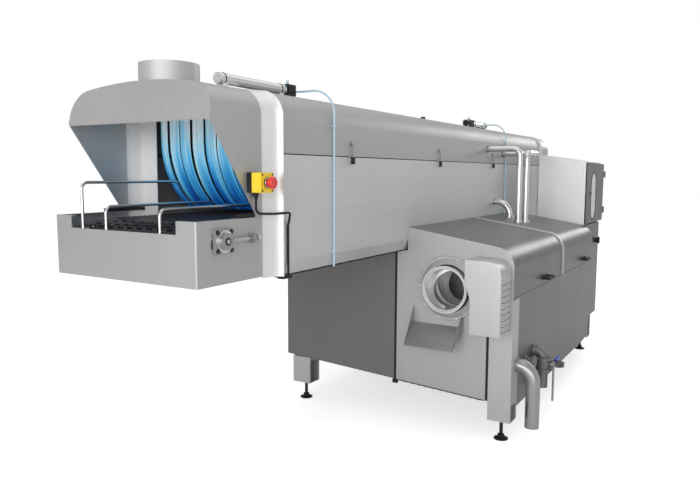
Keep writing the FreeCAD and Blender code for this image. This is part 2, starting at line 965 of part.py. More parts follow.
def filter_skin(inset_outer, inset_inner, x0, x1):
    """A sheet that follows the filter tank's outline between two insets."""
    low = side_low_front - 10
    outer = Part.Face(filter_outline(x0, inset_outer, low)).extrude(V(x1 - x0, 0, 0))
    inner = Part.Face(filter_outline(x0 - 1, inset_inner, low)).extrude(V(x1 - x0 + 2, 0, 0))
    return outer.cut(inner)


def filter_tank():
    """Inner tank behind the covers: top, outer side, rear and bottom, open at the front."""
    inset = sheet + seat_gap
    x0 = base_front + sheet + seat_gap
    x1 = filter_rear - sheet

    def block(extra, start, stop):
        face = Part.Face(filter_outline(start, inset + extra, 0))
        solid = face.extrude(V(stop - start, 0, 0))
        if extra:
            solid = solid.cut(box(start - 1, stop + 1, filter_inner_y - extra, 0, 0, clear_top))
        return solid.cut(below_tanks(filter_outer_y - 5, 0, extra)).cut(rear_corner(sheet + extra))

    outer = block(0.0, x0, x1)
    inner = block(sheet, x0 - 1, x1 - sheet)
    tank = outer.cut(inner).cut(under_tunnel()).cut(near_leg_notch(seat_gap))
    bearing_hole = rod(drum_shaft_radius + 0.05, V(x0, drum_y, drum_z), V(x1 + 1, drum_y, drum_z))
    return [tank.cut(bearing_hole)]


def filter_front_plate():
    """Front plate of the filter tank, with the drum's opening."""
    inner_y = filter_inner_y
    plate = Part.Face(filter_outline(base_front, 0.0, 0)).extrude(V(sheet, 0, 0))
    plate = plate.cut(below_tanks(filter_outer_y - 5, 0, 0))
    opening = rod(collar_throat + 3, V(base_front - 1, drum_y, drum_z), V(base_front + sheet + 1, drum_y, drum_z))
    corner = box(base_front - 1, base_front + sheet + 1, filter_outer_y - 1, leg_near_y1 + seal_width, 0, near_leg_top)
    rim = box(base_front - 1, base_front + sheet + 1, inner_y, 0, 0, clear_top)
    return [plate.cut(opening).cut(corner).cut(rim).cut(under_tunnel())]


def tank_covers():
    """Two bent lids over the top and shoulder of the filter tank, down to the seam."""
    lids = []
    skin = filter_skin(0.0, sheet, base_front + sheet + seat_gap, filter_rear)
    below = box(base_front - 5, filter_rear + 5, filter_outer_y - 5, 0, 0, cover_seam)
    inside = box(base_front - 5, filter_rear + 5, cover_inner_y, 0, 0, clear_top)
    skin = skin.cut(below).cut(inside)
    for x0, x1 in ((base_front, strap_x - 1.0), (strap_x + 1.0, filter_rear + 1)):
        lids.append(skin.common(box(x0, x1, filter_outer_y - 5, 0, 0, clear_top)))
    return lids


def filter_side_panel():
    """Outer side panel below the seam, whose lower edge rises towards the rear."""
    x0 = base_front + leg_depth + seat_gap
    x1 = filter_rear
    y0 = filter_outer_y
    top = cover_seam - 2.0

    def low(x):
        return side_low_front + base_rise * (x - x0)

    front = base_front + sheet + seat_gap
    over_leg = near_leg_top + seat_gap
    panel = prism([
        V(x0, y0, low(x0)), V(x1, y0, low(x1)), V(x1, y0, top),
        V(front, y0, top), V(front, y0, over_leg), V(x0, y0, over_leg),
    ], V(0, sheet, 0))
    return [panel.cut(rear_corner(0.0))]


def cover_strap():
    """Narrow strap over the joint between the two covers."""
    skin = filter_skin(-strap_thickness - seat_gap, -seat_gap, strap_x - strap_width / 2, strap_x + strap_width / 2)
    below = box(strap_x - 50, strap_x + 50, filter_outer_y - 20, 0, 0, cover_seam)
    inside = box(strap_x - 50, strap_x + 50, cover_inner_y - 2, 0, 0, clear_top)
    return [skin.cut(below).cut(inside)]


def cover_handle(x):
    """Pull handle on the outer face of a cover."""
    y = filter_outer_y - seat_gap
    half = handle_length / 2
    outer = box(x - half, x + half, y - handle_reach, y, handle_z - handle_thickness / 2, handle_z + handle_thickness / 2)
    inner = box(
        x - half + handle_thickness, x + half - handle_thickness, y - handle_reach + handle_thickness,
        y + 1, handle_z - handle_thickness, handle_z + handle_thickness,
    )
    grip = outer.cut(inner)
    corners = [e for e in grip.Edges if abs(e.tangentAt(e.FirstParameter).z) > 0.9 and e.CenterOfMass.y < y - handle_reach + 1]
    return grip.makeFillet(6.0, corners)


def cover_handles():
    """One handle on each cover."""
    return [cover_handle(x) for x in handle_places]


def motor_cover():
    """Housing beside the drum mouth, with a round upper corner and a relieved inner edge."""
    face_x = base_front - motor_cover_depth

    def outline(x, inset):
        top = motor_cover_top - inset
        low = motor_cover_bottom + inset
        outer_y = motor_cover_outer_y + inset
        inner_y = motor_cover_inner_y - inset
        relief_y = motor_cover_relief_y - inset
        radius = motor_cover_round - inset
        corner = V(x, outer_y + radius, top - radius)
        bulge = corner.add(V(0, -radius * math.sqrt(0.5), radius * math.sqrt(0.5)))
        return Part.Wire([
            Part.LineSegment(V(x, relief_y, low), V(x, relief_y, motor_cover_relief_low)).toShape(),
            Part.LineSegment(V(x, relief_y, motor_cover_relief_low), V(x, inner_y, motor_cover_relief_top)).toShape(),
            Part.LineSegment(V(x, inner_y, motor_cover_relief_top), V(x, inner_y, top)).toShape(),
            Part.LineSegment(V(x, inner_y, top), V(x, outer_y + radius, top)).toShape(),
            Part.Arc(V(x, outer_y + radius, top), bulge, V(x, outer_y, top - radius)).toShape(),
            Part.LineSegment(V(x, outer_y, top - radius), V(x, outer_y, low)).toShape(),
            Part.LineSegment(V(x, outer_y, low), V(x, relief_y, low)).toShape(),
        ])

    depth = motor_cover_depth - seat_gap
    outer = Part.Face(outline(face_x, 0.0)).extrude(V(depth, 0, 0))
    inner = Part.Face(outline(face_x + sheet, sheet)).extrude(V(depth, 0, 0))
    cover = outer.cut(inner)
    for index in range(louvre_count):
        low = louvre_low + louvre_spacing * index
        cover = cover.fuse(prism([
            V(face_x + louvre_margin, motor_cover_outer_y + 1, low),
            V(face_x + louvre_margin, motor_cover_outer_y - louvre_rise, low),
            V(face_x + louvre_margin, motor_cover_outer_y, low + louvre_height),
            V(face_x + louvre_margin, motor_cover_outer_y + 1, low + louvre_height),
        ], V(depth - 2 * louvre_margin, 0, 0)))
    return [cover]


def drum_collar():
    """Dished collar with a chamfered rim round the drum mouth on the front plate."""
    plate_x = base_front - seat_gap
    chamfer = collar_edge / 3
    profile = Part.makePolygon([
        V(plate_x, drum_y, drum_z + collar_radius),
        V(plate_x - collar_edge + chamfer, drum_y, drum_z + collar_radius),
        V(plate_x - collar_edge, drum_y, drum_z + collar_radius - chamfer),
        V(plate_x - collar_edge, drum_y, drum_z + collar_radius - 2 * collar_edge),
        V(plate_x - collar_dish, drum_y, drum_z + collar_throat + collar_edge),
        V(plate_x - collar_dish, drum_y, drum_z + collar_throat),
        V(plate_x, drum_y, drum_z + collar_throat),
        V(plate_x, drum_y, drum_z + collar_radius),
    ])
    dish = Part.Face(profile).revolve(V(0, drum_y, drum_z), X_AXIS, 360)
    clear = box(
        base_front - 200, base_front + 1, motor_cover_outer_y - 10, motor_cover_inner_y + seat_gap,
        0, 1000,
    )
    return [dish.cut(clear)]


def drum_flight():
    """Helical flight that lifts and carries the screenings to the mouth."""
    turns_length = drum_length - 40
    inner_radius = drum_radius - drum_wall
    middle = inner_radius - flight_height / 2
    helix = Part.makeHelix(drum_pitch, turns_length, middle)
    section = Part.makePolygon([
        V(middle - flight_height / 2, 0, -flight_thickness / 2),
        V(middle + flight_height / 2 + 1, 0, -flight_thickness / 2),
        V(middle + flight_height / 2 + 1, 0, flight_thickness / 2),
        V(middle - flight_height / 2, 0, flight_thickness / 2),
        V(middle - flight_height / 2, 0, -flight_thickness / 2),
    ])
    flight = Part.Wire(helix).makePipeShell([section], True, True)
    flight.rotate(V(0, 0, 0), Y_AXIS, 90)
    flight.translate(V(drum_front + 20, drum_y, drum_z))
    return flight


def drum_hoop(x):
    """A stiffening hoop on the inner face of the drum."""
    inner_radius = drum_radius - drum_wall
    ring = rod(inner_radius + 1, V(x, drum_y, drum_z), V(x + hoop_width, drum_y, drum_z))
    return ring.cut(rod(
        inner_radius - hoop_height, V(x - 1, drum_y, drum_z), V(x + hoop_width + 1, drum_y, drum_z),
    ))


def rotary_drum():
    """The turning drum: tube with a front lip, inner hoops, rear disc, stub shaft and flight."""
    tube = rod(drum_radius, V(drum_front, drum_y, drum_z), V(drum_front + drum_length, drum_y, drum_z))
    bore = rod(
        drum_radius - drum_wall, V(drum_front - 1, drum_y, drum_z),
        V(drum_front + drum_length - 8, drum_y, drum_z),
    )
    lip = rod(
        drum_radius + drum_lip, V(drum_front, drum_y, drum_z),
        V(drum_front + drum_lip_length, drum_y, drum_z),
    )
    shaft = rod(
        drum_shaft_radius, V(drum_front + drum_length - 4, drum_y, drum_z),
        V(drum_bearing_x + drum_shaft_length, drum_y, drum_z),
    )
    drum = tube.fuse(lip).cut(bore)
    for index in range(hoop_count):
        drum = drum.fuse(drum_hoop(drum_front + drum_lip_length + hoop_spacing * index))
    return [drum.fuse(shaft).fuse(drum_flight())]


drum_bearing_x = drum_front + drum_length + 20


def drum_cradle():
    """Two rollers under the drum near its mouth, and the bearing stand for its rear shaft."""
    pieces = []
    reach = drum_radius + seat_gap + roller_radius
    x0 = base_front + sheet + seat_gap
    angle = math.radians(roller_angle)
    y_off = reach * math.sin(angle)
    z_off = reach * math.cos(angle)
    shelf_top = drum_z - z_off - 10
    shelf = box(x0, x0 + roller_width + 20, drum_y - y_off - 30, drum_y + y_off + 30, shelf_top - 40, shelf_top - 8)
    rack = shelf
    for sign in (-1, 1):
        y = drum_y + sign * y_off
        z = drum_z - z_off
        roller = rod(roller_radius, V(x0 + 10, y, z), V(x0 + 10 + roller_width, y, z))
        rack = rack.fuse(roller).fuse(box(x0 + 12, x0 + 8 + roller_width, y - 10, y + 10, shelf_top - 20, z))
    pieces.append(rack)
    stand_x = drum_bearing_x
    half = 45.0
    low = base_low(drum_y + half) + base_rise * (stand_x + 12 - base_front + 5) + sheet + seat_gap
    post = box(stand_x, stand_x + 12, drum_y - half, drum_y + half, low, drum_z + half)
    bore = rod(drum_shaft_radius + 0.05, V(stand_x - 1, drum_y, drum_z), V(stand_x + 13, drum_y, drum_z))
    pieces.append(post.cut(bore))
    return pieces


def discharge_chute():
    """Open tray under the drum mouth that drops the screenings in front of the machine."""
    x0 = base_front - seat_gap
    x1 = base_front - chute_reach
    far0, near0 = chute_far_y, chute_near_y
    far1, near1 = chute_far_y, chute_near_y + chute_taper

    def tray(lift, narrow):
        near_a, far_a = near0 + narrow, far0 - narrow
        near_b, far_b = near1 + narrow, far1 - narrow
        cheek = chute_cheek_z + (5 if lift else 0)
        lip = chute_lip_z + chute_lip_wall + (5 if lift else 0)
        rear = Part.makePolygon([
            V(x0, near_a, chute_step_z + lift), V(x0, far_a, chute_step_z + lift),
            V(x0, far_a, cheek), V(x0, near_a, cheek), V(x0, near_a, chute_step_z + lift),
        ])
        front = Part.makePolygon([
            V(x1 - (5 if lift else 0), near_b, chute_lip_z + lift), V(x1 - (5 if lift else 0), far_b, chute_lip_z + lift),
            V(x1 - (5 if lift else 0), far_b, lip), V(x1 - (5 if lift else 0), near_b, lip),
            V(x1 - (5 if lift else 0), near_b, chute_lip_z + lift),
        ])
        return Part.makeLoft([rear, front], True, True)

    outer = tray(0.0, 0.0)
    inner = tray(sheet, sheet)
    collar_space = rod(
        collar_radius + 1, V(x0 + 1, drum_y, drum_z), V(x0 - collar_dish - 1, drum_y, drum_z),
    )
    return [outer.cut(inner).cut(collar_space)]


def rubber_seals():
    """Black seals: between the tanks, beside the front leg, under the tunnel and in its seam."""
    front = base_front
    low = base_low(filter_inner_y)
    between = box(
        front - 1, front + seal_depth, wash_tank_near_y - seal_width + seat_gap,
        wash_tank_near_y - seat_gap, low, tunnel_bottom - tunnel_seal_height - seat_gap,
    )
    leg_seal = box(
        front - 1, front + sheet, leg_near_y1 + seat_gap, leg_near_y1 + seal_width - seat_gap,
        base_low(leg_near_y1), motor_cover_bottom - seat_gap,
    )
    wall_inner = tunnel_half - fold_inset - sheet
    pieces = [between, leg_seal]
    strip = box(
        -tunnel_end, tunnel_end, -wall_inner - sheet + seat_gap, -wall_inner + 14,
        tunnel_bottom - tunnel_seal_height, tunnel_bottom,
    )
    pieces += [strip, mirror_y(strip)]
    recess = 1.2
    gasket = box(
        -tunnel_end, tunnel_end, -tunnel_half + recess, -tunnel_half + sheet,
        seam_height, seam_height + seam_gap,
    )
    pieces += [gasket, mirror_y(gasket)]
    return pieces


def leg(x0, y0, top, open_side):
    """Square tube leg with a closed foot plate and an open lower side."""
    outer = box(x0, x0 + leg_depth, y0, y0 + leg_width, leg_bottom, top)
    inner = box(
        x0 + leg_wall, x0 + leg_depth - leg_wall, y0 + leg_wall, y0 + leg_width - leg_wall,
        leg_bottom + leg_wall, top + 1,
    )
    side = box(
        x0 + leg_wall * 3, x0 + leg_depth - leg_wall * 3, y0 - 1, y0 + leg_wall + 1,
        leg_bottom + leg_wall, open_side,
    )
    return outer.cut(inner).cut(side)


def legs():
    """Four legs: one in the filter tank's front corner, three under the tanks."""
    near = leg(base_front, leg_near_y0, near_leg_top, side_low_front + 20)
    y0 = far_leg_y - leg_width / 2
    seat = base_low(y0) - seat_gap
    far = leg(base_front, y0, seat, seat - 20)
    rear_x = rear_leg_x - leg_depth / 2
    seat = seat + base_rise * (rear_x - base_front)
    rear_far = leg(rear_x, y0, seat, seat - 20)
    rear_near = leg(rear_near_leg_x - leg_depth / 2, rear_near_leg_y - leg_width / 2, housing_low - seat_gap, housing_low - 20)
    return [near, far, rear_near, rear_far]


def foot(x, y):
    """Levelling foot: pad, hub, threaded stem and lock nut."""
    outline = Part.makePolygon([
        V(0, 0, 0), V(foot_pad_radius, 0, 0), V(foot_pad_radius, 0, foot_pad_height * 0.6),
        V(foot_hub_radius, 0, foot_pad_height + 4), V(foot_hub_radius, 0, foot_pad_height + foot_hub_height),
        V(foot_stem_radius, 0, foot_pad_height + foot_hub_height + 3),
        V(foot_stem_radius, 0, leg_bottom - foot_nut_height - seat_gap),
        V(foot_nut_radius, 0, leg_bottom - foot_nut_height - seat_gap),
        V(foot_nut_radius, 0, leg_bottom), V(0, 0, leg_bottom), V(0, 0, 0),
    ])
    turned = Part.Face(outline).revolve(V(0, 0, 0), Z_AXIS, 360)
    turned.translate(V(x, y, 0))
    return turned


def levelling_feet():
    """A foot under the middle of each leg."""
    x_front = base_front + leg_depth / 2
    return [
        foot(x_front, leg_near_y0 + leg_width / 2), foot(x_front, far_leg_y),
        foot(rear_near_leg_x, rear_near_leg_y), foot(rear_leg_x, far_leg_y),
    ]


def pump_housing():
    """Closed housing under the control cabinet, behind the filter tank."""
    x0 = filter_rear + seat_gap
    x1 = housing_rear
    y1 = wash_tank_near_y - seat_gap
    outer = box(x0, x1, housing_near_y, y1, housing_low, housing_top).cut(under_tunnel())
    inner = box(
        x0 + sheet, x1 - sheet, housing_near_y + sheet, y1 - sheet,
        housing_low + sheet, housing_top - sheet,
    )
    return [outer.cut(inner.cut(under_tunnel(sheet)))]


def housing_knob():
    """Turn knob on the outer side of the pump housing."""
    y = housing_near_y - seat_gap
    stem = rod(knob_radius * 0.5, V(knob_x, y, knob_z), V(knob_x, y - knob_depth * 0.5, knob_z))
    disc = rod(knob_radius, V(knob_x, y, knob_z), V(knob_x, y - knob_depth * 0.3, knob_z))
    bar = box(
        knob_x - knob_bar / 2, knob_x + knob_bar / 2, y - knob_depth, y - knob_depth * 0.4,
        knob_z - knob_bar_height / 2, knob_z + knob_bar_height / 2,
    )
    return [disc.fuse(stem).fuse(bar)]


def control_cabinet():
    """Cabinet with a sloping roof, open at the door side."""
    low = housing_top + seat_gap

    def block(inset, y0):
        y1 = cabinet_far_y - inset
        x0 = cabinet_x + inset
        x1 = cabinet_rear - inset
        return prism([
            V(x0, y0, low + inset), V(x0, y1, low + inset),
            V(x0, y1, cabinet_top_low - inset + cabinet_top_fall * (y1 - cabinet_near_y)),
            V(x0, y0, cabinet_top_low - inset + cabinet_top_fall * (y0 - cabinet_near_y)),
        ], V(x1 - x0, 0, 0))

    shell = block(0.0, cabinet_near_y).cut(block(cabinet_wall, cabinet_near_y - 5))
    return [shell]


cabinet_x = filter_rear + seat_gap
cabinet_rear = cabinet_x + cabinet_length
cabinet_far_y = cabinet_near_y + cabinet_width
door_low = housing_top + seat_gap + door_inset
door_top = cabinet_top_low - door_inset
door_x0 = cabinet_x + door_inset
door_x1 = cabinet_rear - door_inset
door_y1 = cabinet_near_y - door_gap
door_y0 = door_y1 - door_thickness
hinge_x = cabinet_rear + hinge_offset
hinge_y = door_y0 - 2.0
hinge_heights = (door_low + 70, door_top - 70)


def window_slot(x0, y0, depth, grow):
    """Tall slot with round ends for the door's window."""
    radius = window_width / 2 + grow
    x = x0 + window_from_edge + window_width / 2
    low = window_low + window_width / 2
    high = window_low + window_height - window_width / 2
    middle = box(x - radius, x + radius, y0, y0 + depth, low, high)
    ends = rod(radius, V(x, y0, low), V(x, y0 + depth, low)).fuse(rod(radius, V(x, y0, high), V(x, y0 + depth, high)))
    return middle.fuse(ends).removeSplitter()


def cabinet_door():
    """Door with a rebated window opening, a turn latch and two hinge eyes."""
    slab = box(door_x0, door_x1, door_y0, door_y1, door_low, door_top)
    slab = slab.cut(window_slot(door_x0, door_y0 - 1, door_thickness + 2, -8.0))
    slab = slab.cut(window_slot(door_x0, door_y0 - 1, window_thickness + 1 + seat_gap, seat_gap))
    middle = (door_low + door_top) / 2
    latch = rod(9.0, V(door_x0 + 26, door_y0 + 1, middle), V(door_x0 + 26, door_y0 - 10, middle))
    door = slab.fuse(latch)
    for height in hinge_heights:
        low = height - hinge_eye_height / 2
        high = height + hinge_eye_height / 2
        leaf = box(door_x1 - 4, hinge_x, door_y0, door_y0 + 5, low, high)
        door = door.fuse(leaf).fuse(rod(hinge_eye_radius, V(hinge_x, hinge_y, low), V(hinge_x, hinge_y, high)))
        bore = rod(hinge_pin_radius + pin_clearance, V(hinge_x, hinge_y, low - 1), V(hinge_x, hinge_y, high + 1))
        door = door.cut(bore)
    return [door]


def door_window():
    """Clear pane in the door's rebate."""
    return [window_slot(door_x0, door_y0, window_thickness, 0.0)]


def cabinet_hinges():
    """Two hinge pins, each between two arms of a bracket on the cabinet's rear side."""
    pieces = []
    x0 = cabinet_rear + seat_gap
    for height in hinge_heights:
        low = height - hinge_eye_height / 2 - 1
        high = height + hinge_eye_height / 2 + 1
        bracket = box(
            x0, x0 + sheet, cabinet_near_y + 4, cabinet_near_y + 34,
            low - hinge_arm_height, high + hinge_arm_height,
        )
        for z in (low - hinge_arm_height, high):
            bracket = bracket.fuse(box(
                x0, hinge_x + 6, hinge_y - 6, cabinet_near_y + 34, z, z + hinge_arm_height,
            ))
        bracket = bracket.fuse(rod(
            hinge_pin_radius, V(hinge_x, hinge_y, low - 1), V(hinge_x, hinge_y, high + 1),
        ))
        pieces.append(bracket)
    return pieces


def estop_base():
    """Black rear half of the emergency stop box, on the hood's cheek."""
    y = -hood_half - seat_gap
    half = estop_size / 2
    return [box(estop_x - half, estop_x + half, y - estop_base_depth, y, estop_z - half, estop_z + half)]


estop_lid_y = -hood_half - seat_gap - estop_base_depth


def estop_lid():
    """Yellow front half, with the bore that the button slides in."""
    half = estop_size / 2
    lid = box(estop_x - half, estop_x + half, estop_lid_y - estop_lid_depth, estop_lid_y, estop_z - half, estop_z + half)
    corners = [e for e in lid.Edges if abs(e.tangentAt(e.FirstParameter).y) > 0.9]
    lid = lid.makeFillet(5.0, corners)
    bore = rod(
        button_stem_radius + button_stem_gap, V(estop_x, estop_lid_y - estop_lid_depth - 1, estop_z),
        V(estop_x, estop_lid_y - estop_lid_depth + 22, estop_z),
    )
    return [lid.cut(bore)]


def estop_button():
    """Red mushroom head on its stem."""
    face = estop_lid_y - estop_lid_depth
    stem = rod(button_stem_radius, V(estop_x, face + 12, estop_z), V(estop_x, face - button_standoff - 2, estop_z))
    low = face - button_standoff
    profile = Part.makePolygon([
        V(estop_x, low, estop_z), V(estop_x + button_radius - 4, low, estop_z),
        V(estop_x + button_radius, low - 4, estop_z),
        V(estop_x + button_radius, low - button_depth + 5, estop_z),
        V(estop_x + button_radius - 5, low - button_depth, estop_z),
        V(estop_x, low - button_depth, estop_z), V(estop_x, low, estop_z),
    ])
    head = Part.Face(profile).revolve(V(estop_x, 0, estop_z), Y_AXIS, 360)
    return [stem.fuse(head)]


def estop_cable():
    """Cable from the stop box, over the flange and down the tunnel wall to its lower edge."""
    y_box = -hood_half - estop_base_depth / 2
    y_flange = -flange_half - cable_radius - 2
    y_wall = -tunnel_half - cable_radius - seat_gap
    low = tunnel_bottom - tunnel_seal_height - 2
    route = [
        V(estop_x, y_box, estop_z - estop_size / 2 - seat_gap),
        V(estop_x, y_box, 1068),
        V(estop_x + 52, y_flange, 1066),
        V(-tunnel_end + 30, y_flange, 1066),
        V(-tunnel_end + 42, y_wall, 1020),
        V(-tunnel_end + 42, y_wall, low),
    ]
    return [bent_tube(route, cable_radius, 18.0)]


def under_roof():
    """The space that the tunnel roof and the infeed hood take up, with the seat gap."""
    low = spring_height - 10
    tunnel = arch_solid(
        -tunnel_end - 0.5, tunnel_end, tunnel_half + seat_gap, shoulder_radius + seat_gap,
        tunnel_crown_radius + seat_gap, low,
    )
    hood = arch_solid(
        -hood_end - 5, -flare_start, hood_half + seat_gap, shoulder_radius + seat_gap,
        hood_crown_radius + seat_gap, low,
    )
    return tunnel.fuse(hood)


def air_cylinder(x0, length):
    """Round cylinder barrel on two feet."""
    x1 = x0 + length
    barrel = rod(cylinder_radius, V(x0, cylinder_y, cylinder_z), V(x1, cylinder_y, cylinder_z))
    low = spring_height + shoulder_radius
    for middle in (x0 + cylinder_foot, x1 - cylinder_foot):
        barrel = barrel.fuse(box(
            middle - cylinder_foot / 2, middle + cylinder_foot / 2, cylinder_y - 14, cylinder_y + 14,
            low, cylinder_z,
        ))
    return barrel.cut(under_roof())


def air_cylinders():
    """Two cylinders on the roof."""
    return [
        air_cylinder(front_cylinder_x, front_cylinder_length),
        air_cylinder(rear_cylinder_x, rear_cylinder_length),
    ]


def cylinder_heads():
    """Black end blocks of the two cylinders."""
    pieces = []
    front = front_cylinder_x + front_cylinder_length + seat_gap
    half = cylinder_cap_half
    pieces.append(box(front, front + front_cylinder_cap, cylinder_y - half, cylinder_y + half, cylinder_z - half, cylinder_z + half))
    rear = rear_cylinder_x - seat_gap
    pieces.append(box(rear - rear_cylinder_cap, rear, cylinder_y - half, cylinder_y + half, cylinder_z - half, cylinder_z + half))
    return pieces


hose_wall_y = -tunnel_half - hose_radius - seat_gap


def front_hose():
    """Air hose from the front cylinder's block, over the shoulder and down to the fold."""
    start_x = front_cylinder_x + front_cylinder_length + front_cylinder_cap + 2 * seat_gap
    down_x = start_x + hose_turn + 6
    return bent_tube([
        V(start_x, cylinder_y, cylinder_z), V(down_x, cylinder_y, cylinder_z),
        V(down_x, hose_wall_y, cylinder_z), V(down_x, hose_wall_y, tunnel_bottom - 4),
    ], hose_radius, [hose_turn, shoulder_radius])


def rear_hose():
    """Air hose from the side of the rear cylinder, down the wall to the tank's cover."""
    start_y = cylinder_y - cylinder_radius - seat_gap
    end_z = cover_height(hose_wall_y + hose_radius) + seat_gap
    return bent_tube([
        V(rear_hose_x, start_y, cylinder_z), V(rear_hose_x, hose_wall_y, cylinder_z),
        V(rear_hose_x, hose_wall_y, end_z),
    ], hose_radius, shoulder_radius)


def air_hoses():
    """A hose for each cylinder."""
    return [front_hose(), rear_hose()]


def roof_plug():
    """Small plug on the roof between the cylinders."""
    z = spring_height + shoulder_radius
    return [Part.makeCylinder(13, 26, V(roof_plug_x, cylinder_y, z), Z_AXIS).cut(under_roof())]


def riser_pipes():
    """Two pipes that rise from the filter tank and turn into the tunnel wall."""
    wall_y = -tunnel_half - seat_gap
    first = bent_tube([
        V(first_riser_x, first_riser_y, cover_height(first_riser_y) + 8),
        V(first_riser_x, first_riser_y, first_riser_z),
        V(first_riser_x, wall_y, first_riser_z),
    ], riser_radius, riser_bend)
    second = bent_tube([
        V(second_riser_x, second_riser_y, cover_height(second_riser_y) + 8),
        V(second_riser_x, second_riser_y, second_riser_z),
        V(second_riser_x + second_riser_run, second_riser_y, second_riser_z),
        V(second_riser_x + second_riser_run, wall_y, second_riser_z),
    ], riser_radius, riser_bend)
    pieces = []
    for pipe, x, y in ((first, first_riser_x, first_riser_y), (second, second_riser_x, second_riser_y)):
        collar = pipe_collar(x, y, riser_radius)
        pieces.append(pipe.fuse(collar))
    return pieces


def pipe_collar(x, y, radius):
    """Round flange that seats a pipe on the sloping cover."""
    top = cover_height(y) + pipe_flange_depth + cover_fall * (radius + pipe_flange_extra) + 2
    disc = Part.makeCylinder(radius + pipe_flange_extra, 60, V(x, y, top - 60), Z_AXIS)
    wide = radius + pipe_flange_extra + 5
    slab = prism([
        V(x - wide, y - wide, cover_height(y - wide) - 100), V(x - wide, y + wide, cover_height(y + wide) - 100),
        V(x - wide, y + wide, cover_height(y + wide) + seat_gap), V(x - wide, y - wide, cover_height(y - wide) + seat_gap),
    ], V(2 * wide, 0, 0))
    return disc.cut(slab)


def overflow_elbow():
    """Bend from the tunnel wall down to the filter tank's cover."""
    wall_y = -tunnel_half - seat_gap
    y = wall_y - 20 - overflow_bend
    pipe = bent_tube([
        V(overflow_x, wall_y, overflow_z), V(overflow_x, y, overflow_z),
        V(overflow_x, y, cover_height(y) + 8),
    ], overflow_radius, overflow_bend)
    return [pipe.fuse(pipe_collar(overflow_x, y, overflow_radius))]


def drain_pipe():
    """Open drain: a bend out of the tank's side and down towards the floor."""
    y_side = filter_outer_y - seat_gap
    y_down = y_side - drain_bend
    route = [V(drain_x, y_side, drain_z), V(drain_x, y_down, drain_z), V(drain_x, y_down, drain_end_z)]
    outer = bent_tube(route, drain_radius, drain_bend - 1)
    path_inner = [V(drain_x, y_side + 0.0, drain_z), V(drain_x, y_down, drain_z), V(drain_x, y_down, drain_end_z - 1)]
    inner = bent_tube(path_inner, drain_radius - drain_wall, drain_bend - 1)
    return [outer.cut(inner)]


valve_y = filter_outer_y - seat_gap - valve_bend - 4


def drain_valve():
    """Quarter-turn valve on a downpipe from the tank's side, and a capped port beside it."""
    y_side = filter_outer_y - seat_gap
    pipe = bent_tube([
        V(valve_x, y_side, valve_inlet_z), V(valve_x, valve_y, valve_inlet_z), V(valve_x, valve_y, valve_out_z),
    ], valve_pipe_radius, valve_bend)
    half = valve_body_height / 2
    body = rod(valve_body_half, V(valve_x, valve_y, valve_z - half), V(valve_x, valve_y, valve_z + half))
    for z in (valve_z - half, valve_z + half - valve_flange_depth):
        body = body.fuse(Part.makeCylinder(valve_flange_radius, valve_flange_depth, V(valve_x, valve_y, z), Z_AXIS))
    neck = rod(stem_radius + 5, V(valve_x, valve_y, valve_z), V(valve_x, valve_y - lever_offset + 8, valve_z))
    stem = rod(stem_radius, V(valve_x, valve_y, valve_z), V(valve_x, valve_y - lever_offset - 8, valve_z))
    port = rod(port_radius, V(port_x, y_side, port_z), V(port_x, y_side - port_reach, port_z))
    port = port.fuse(rod(port_radius + 6, V(port_x, y_side - port_reach + 12, port_z), V(port_x, y_side - port_reach, port_z)))
    return [pipe.fuse(body).fuse(neck).fuse(stem), port]


def drain_lever():
    """Lever that hangs beside the valve and turns about its stem."""
    y1 = valve_y - lever_offset + 8 - seat_gap
    y0 = valve_y - lever_offset - lever_thickness
    hub = rod(stem_radius + 8, V(valve_x, y1, valve_z), V(valve_x, y0, valve_z))
    arm = box(
        valve_x - lever_width / 2, valve_x + lever_width / 2, y0, y0 + lever_thickness,
        valve_z - lever_length, valve_z,
    )
    tip = rod(lever_width / 2, V(valve_x, y0, valve_z - lever_length), V(valve_x, y0 + lever_thickness, valve_z - lever_length))
    bore = rod(stem_radius + stem_clearance, V(valve_x, y1 + 1, valve_z), V(valve_x, y0 - 1, valve_z))
    return [hub.fuse(arm).fuse(tip).cut(bore)]


def sample_valve():
    """Small ball valve on the tank's side, with its stem upright."""
    y_side = filter_outer_y - seat_gap
    y_mid = y_side - 44
    pipe = rod(small_pipe_radius, V(small_valve_x, y_side, small_valve_z), V(small_valve_x, y_mid - 34, small_valve_z))
    body = rod(small_valve_half, V(small_valve_x, y_mid + 20, small_valve_z), V(small_valve_x, y_mid - 20, small_valve_z))
    nose = rod(small_pipe_radius + 4, V(small_valve_x, y_mid - 24, small_valve_z), V(small_valve_x, y_mid - 34, small_valve_z))
    stem_top = small_valve_z + small_valve_half + small_handle_lift + small_handle_depth + 3
    stem = rod(4.5, V(small_valve_x, y_mid, small_valve_z), V(small_valve_x, y_mid, stem_top))
    return [pipe.fuse(body).fuse(nose).fuse(stem)]


def sample_handle():
    """Blue bar handle that turns on the small valve's stem."""
    y_mid = filter_outer_y - seat_gap - 44
    z0 = small_valve_z + small_valve_half + small_handle_lift
    half = small_handle_length / 2
    bar = box(
        small_valve_x - half, small_valve_x + half, y_mid - small_handle_width / 2,
        y_mid + small_handle_width / 2, z0, z0 + small_handle_depth,
    )
    upright = [e for e in bar.Edges if abs(e.tangentAt(e.FirstParameter).z) > 0.9]
    bar = bar.makeFillet(6.0, upright)
    bore = rod(4.5 + stem_clearance, V(small_valve_x, y_mid, z0 - 1), V(small_valve_x, y_mid, z0 + small_handle_depth + 1))
    return [bar.cut(bore)]


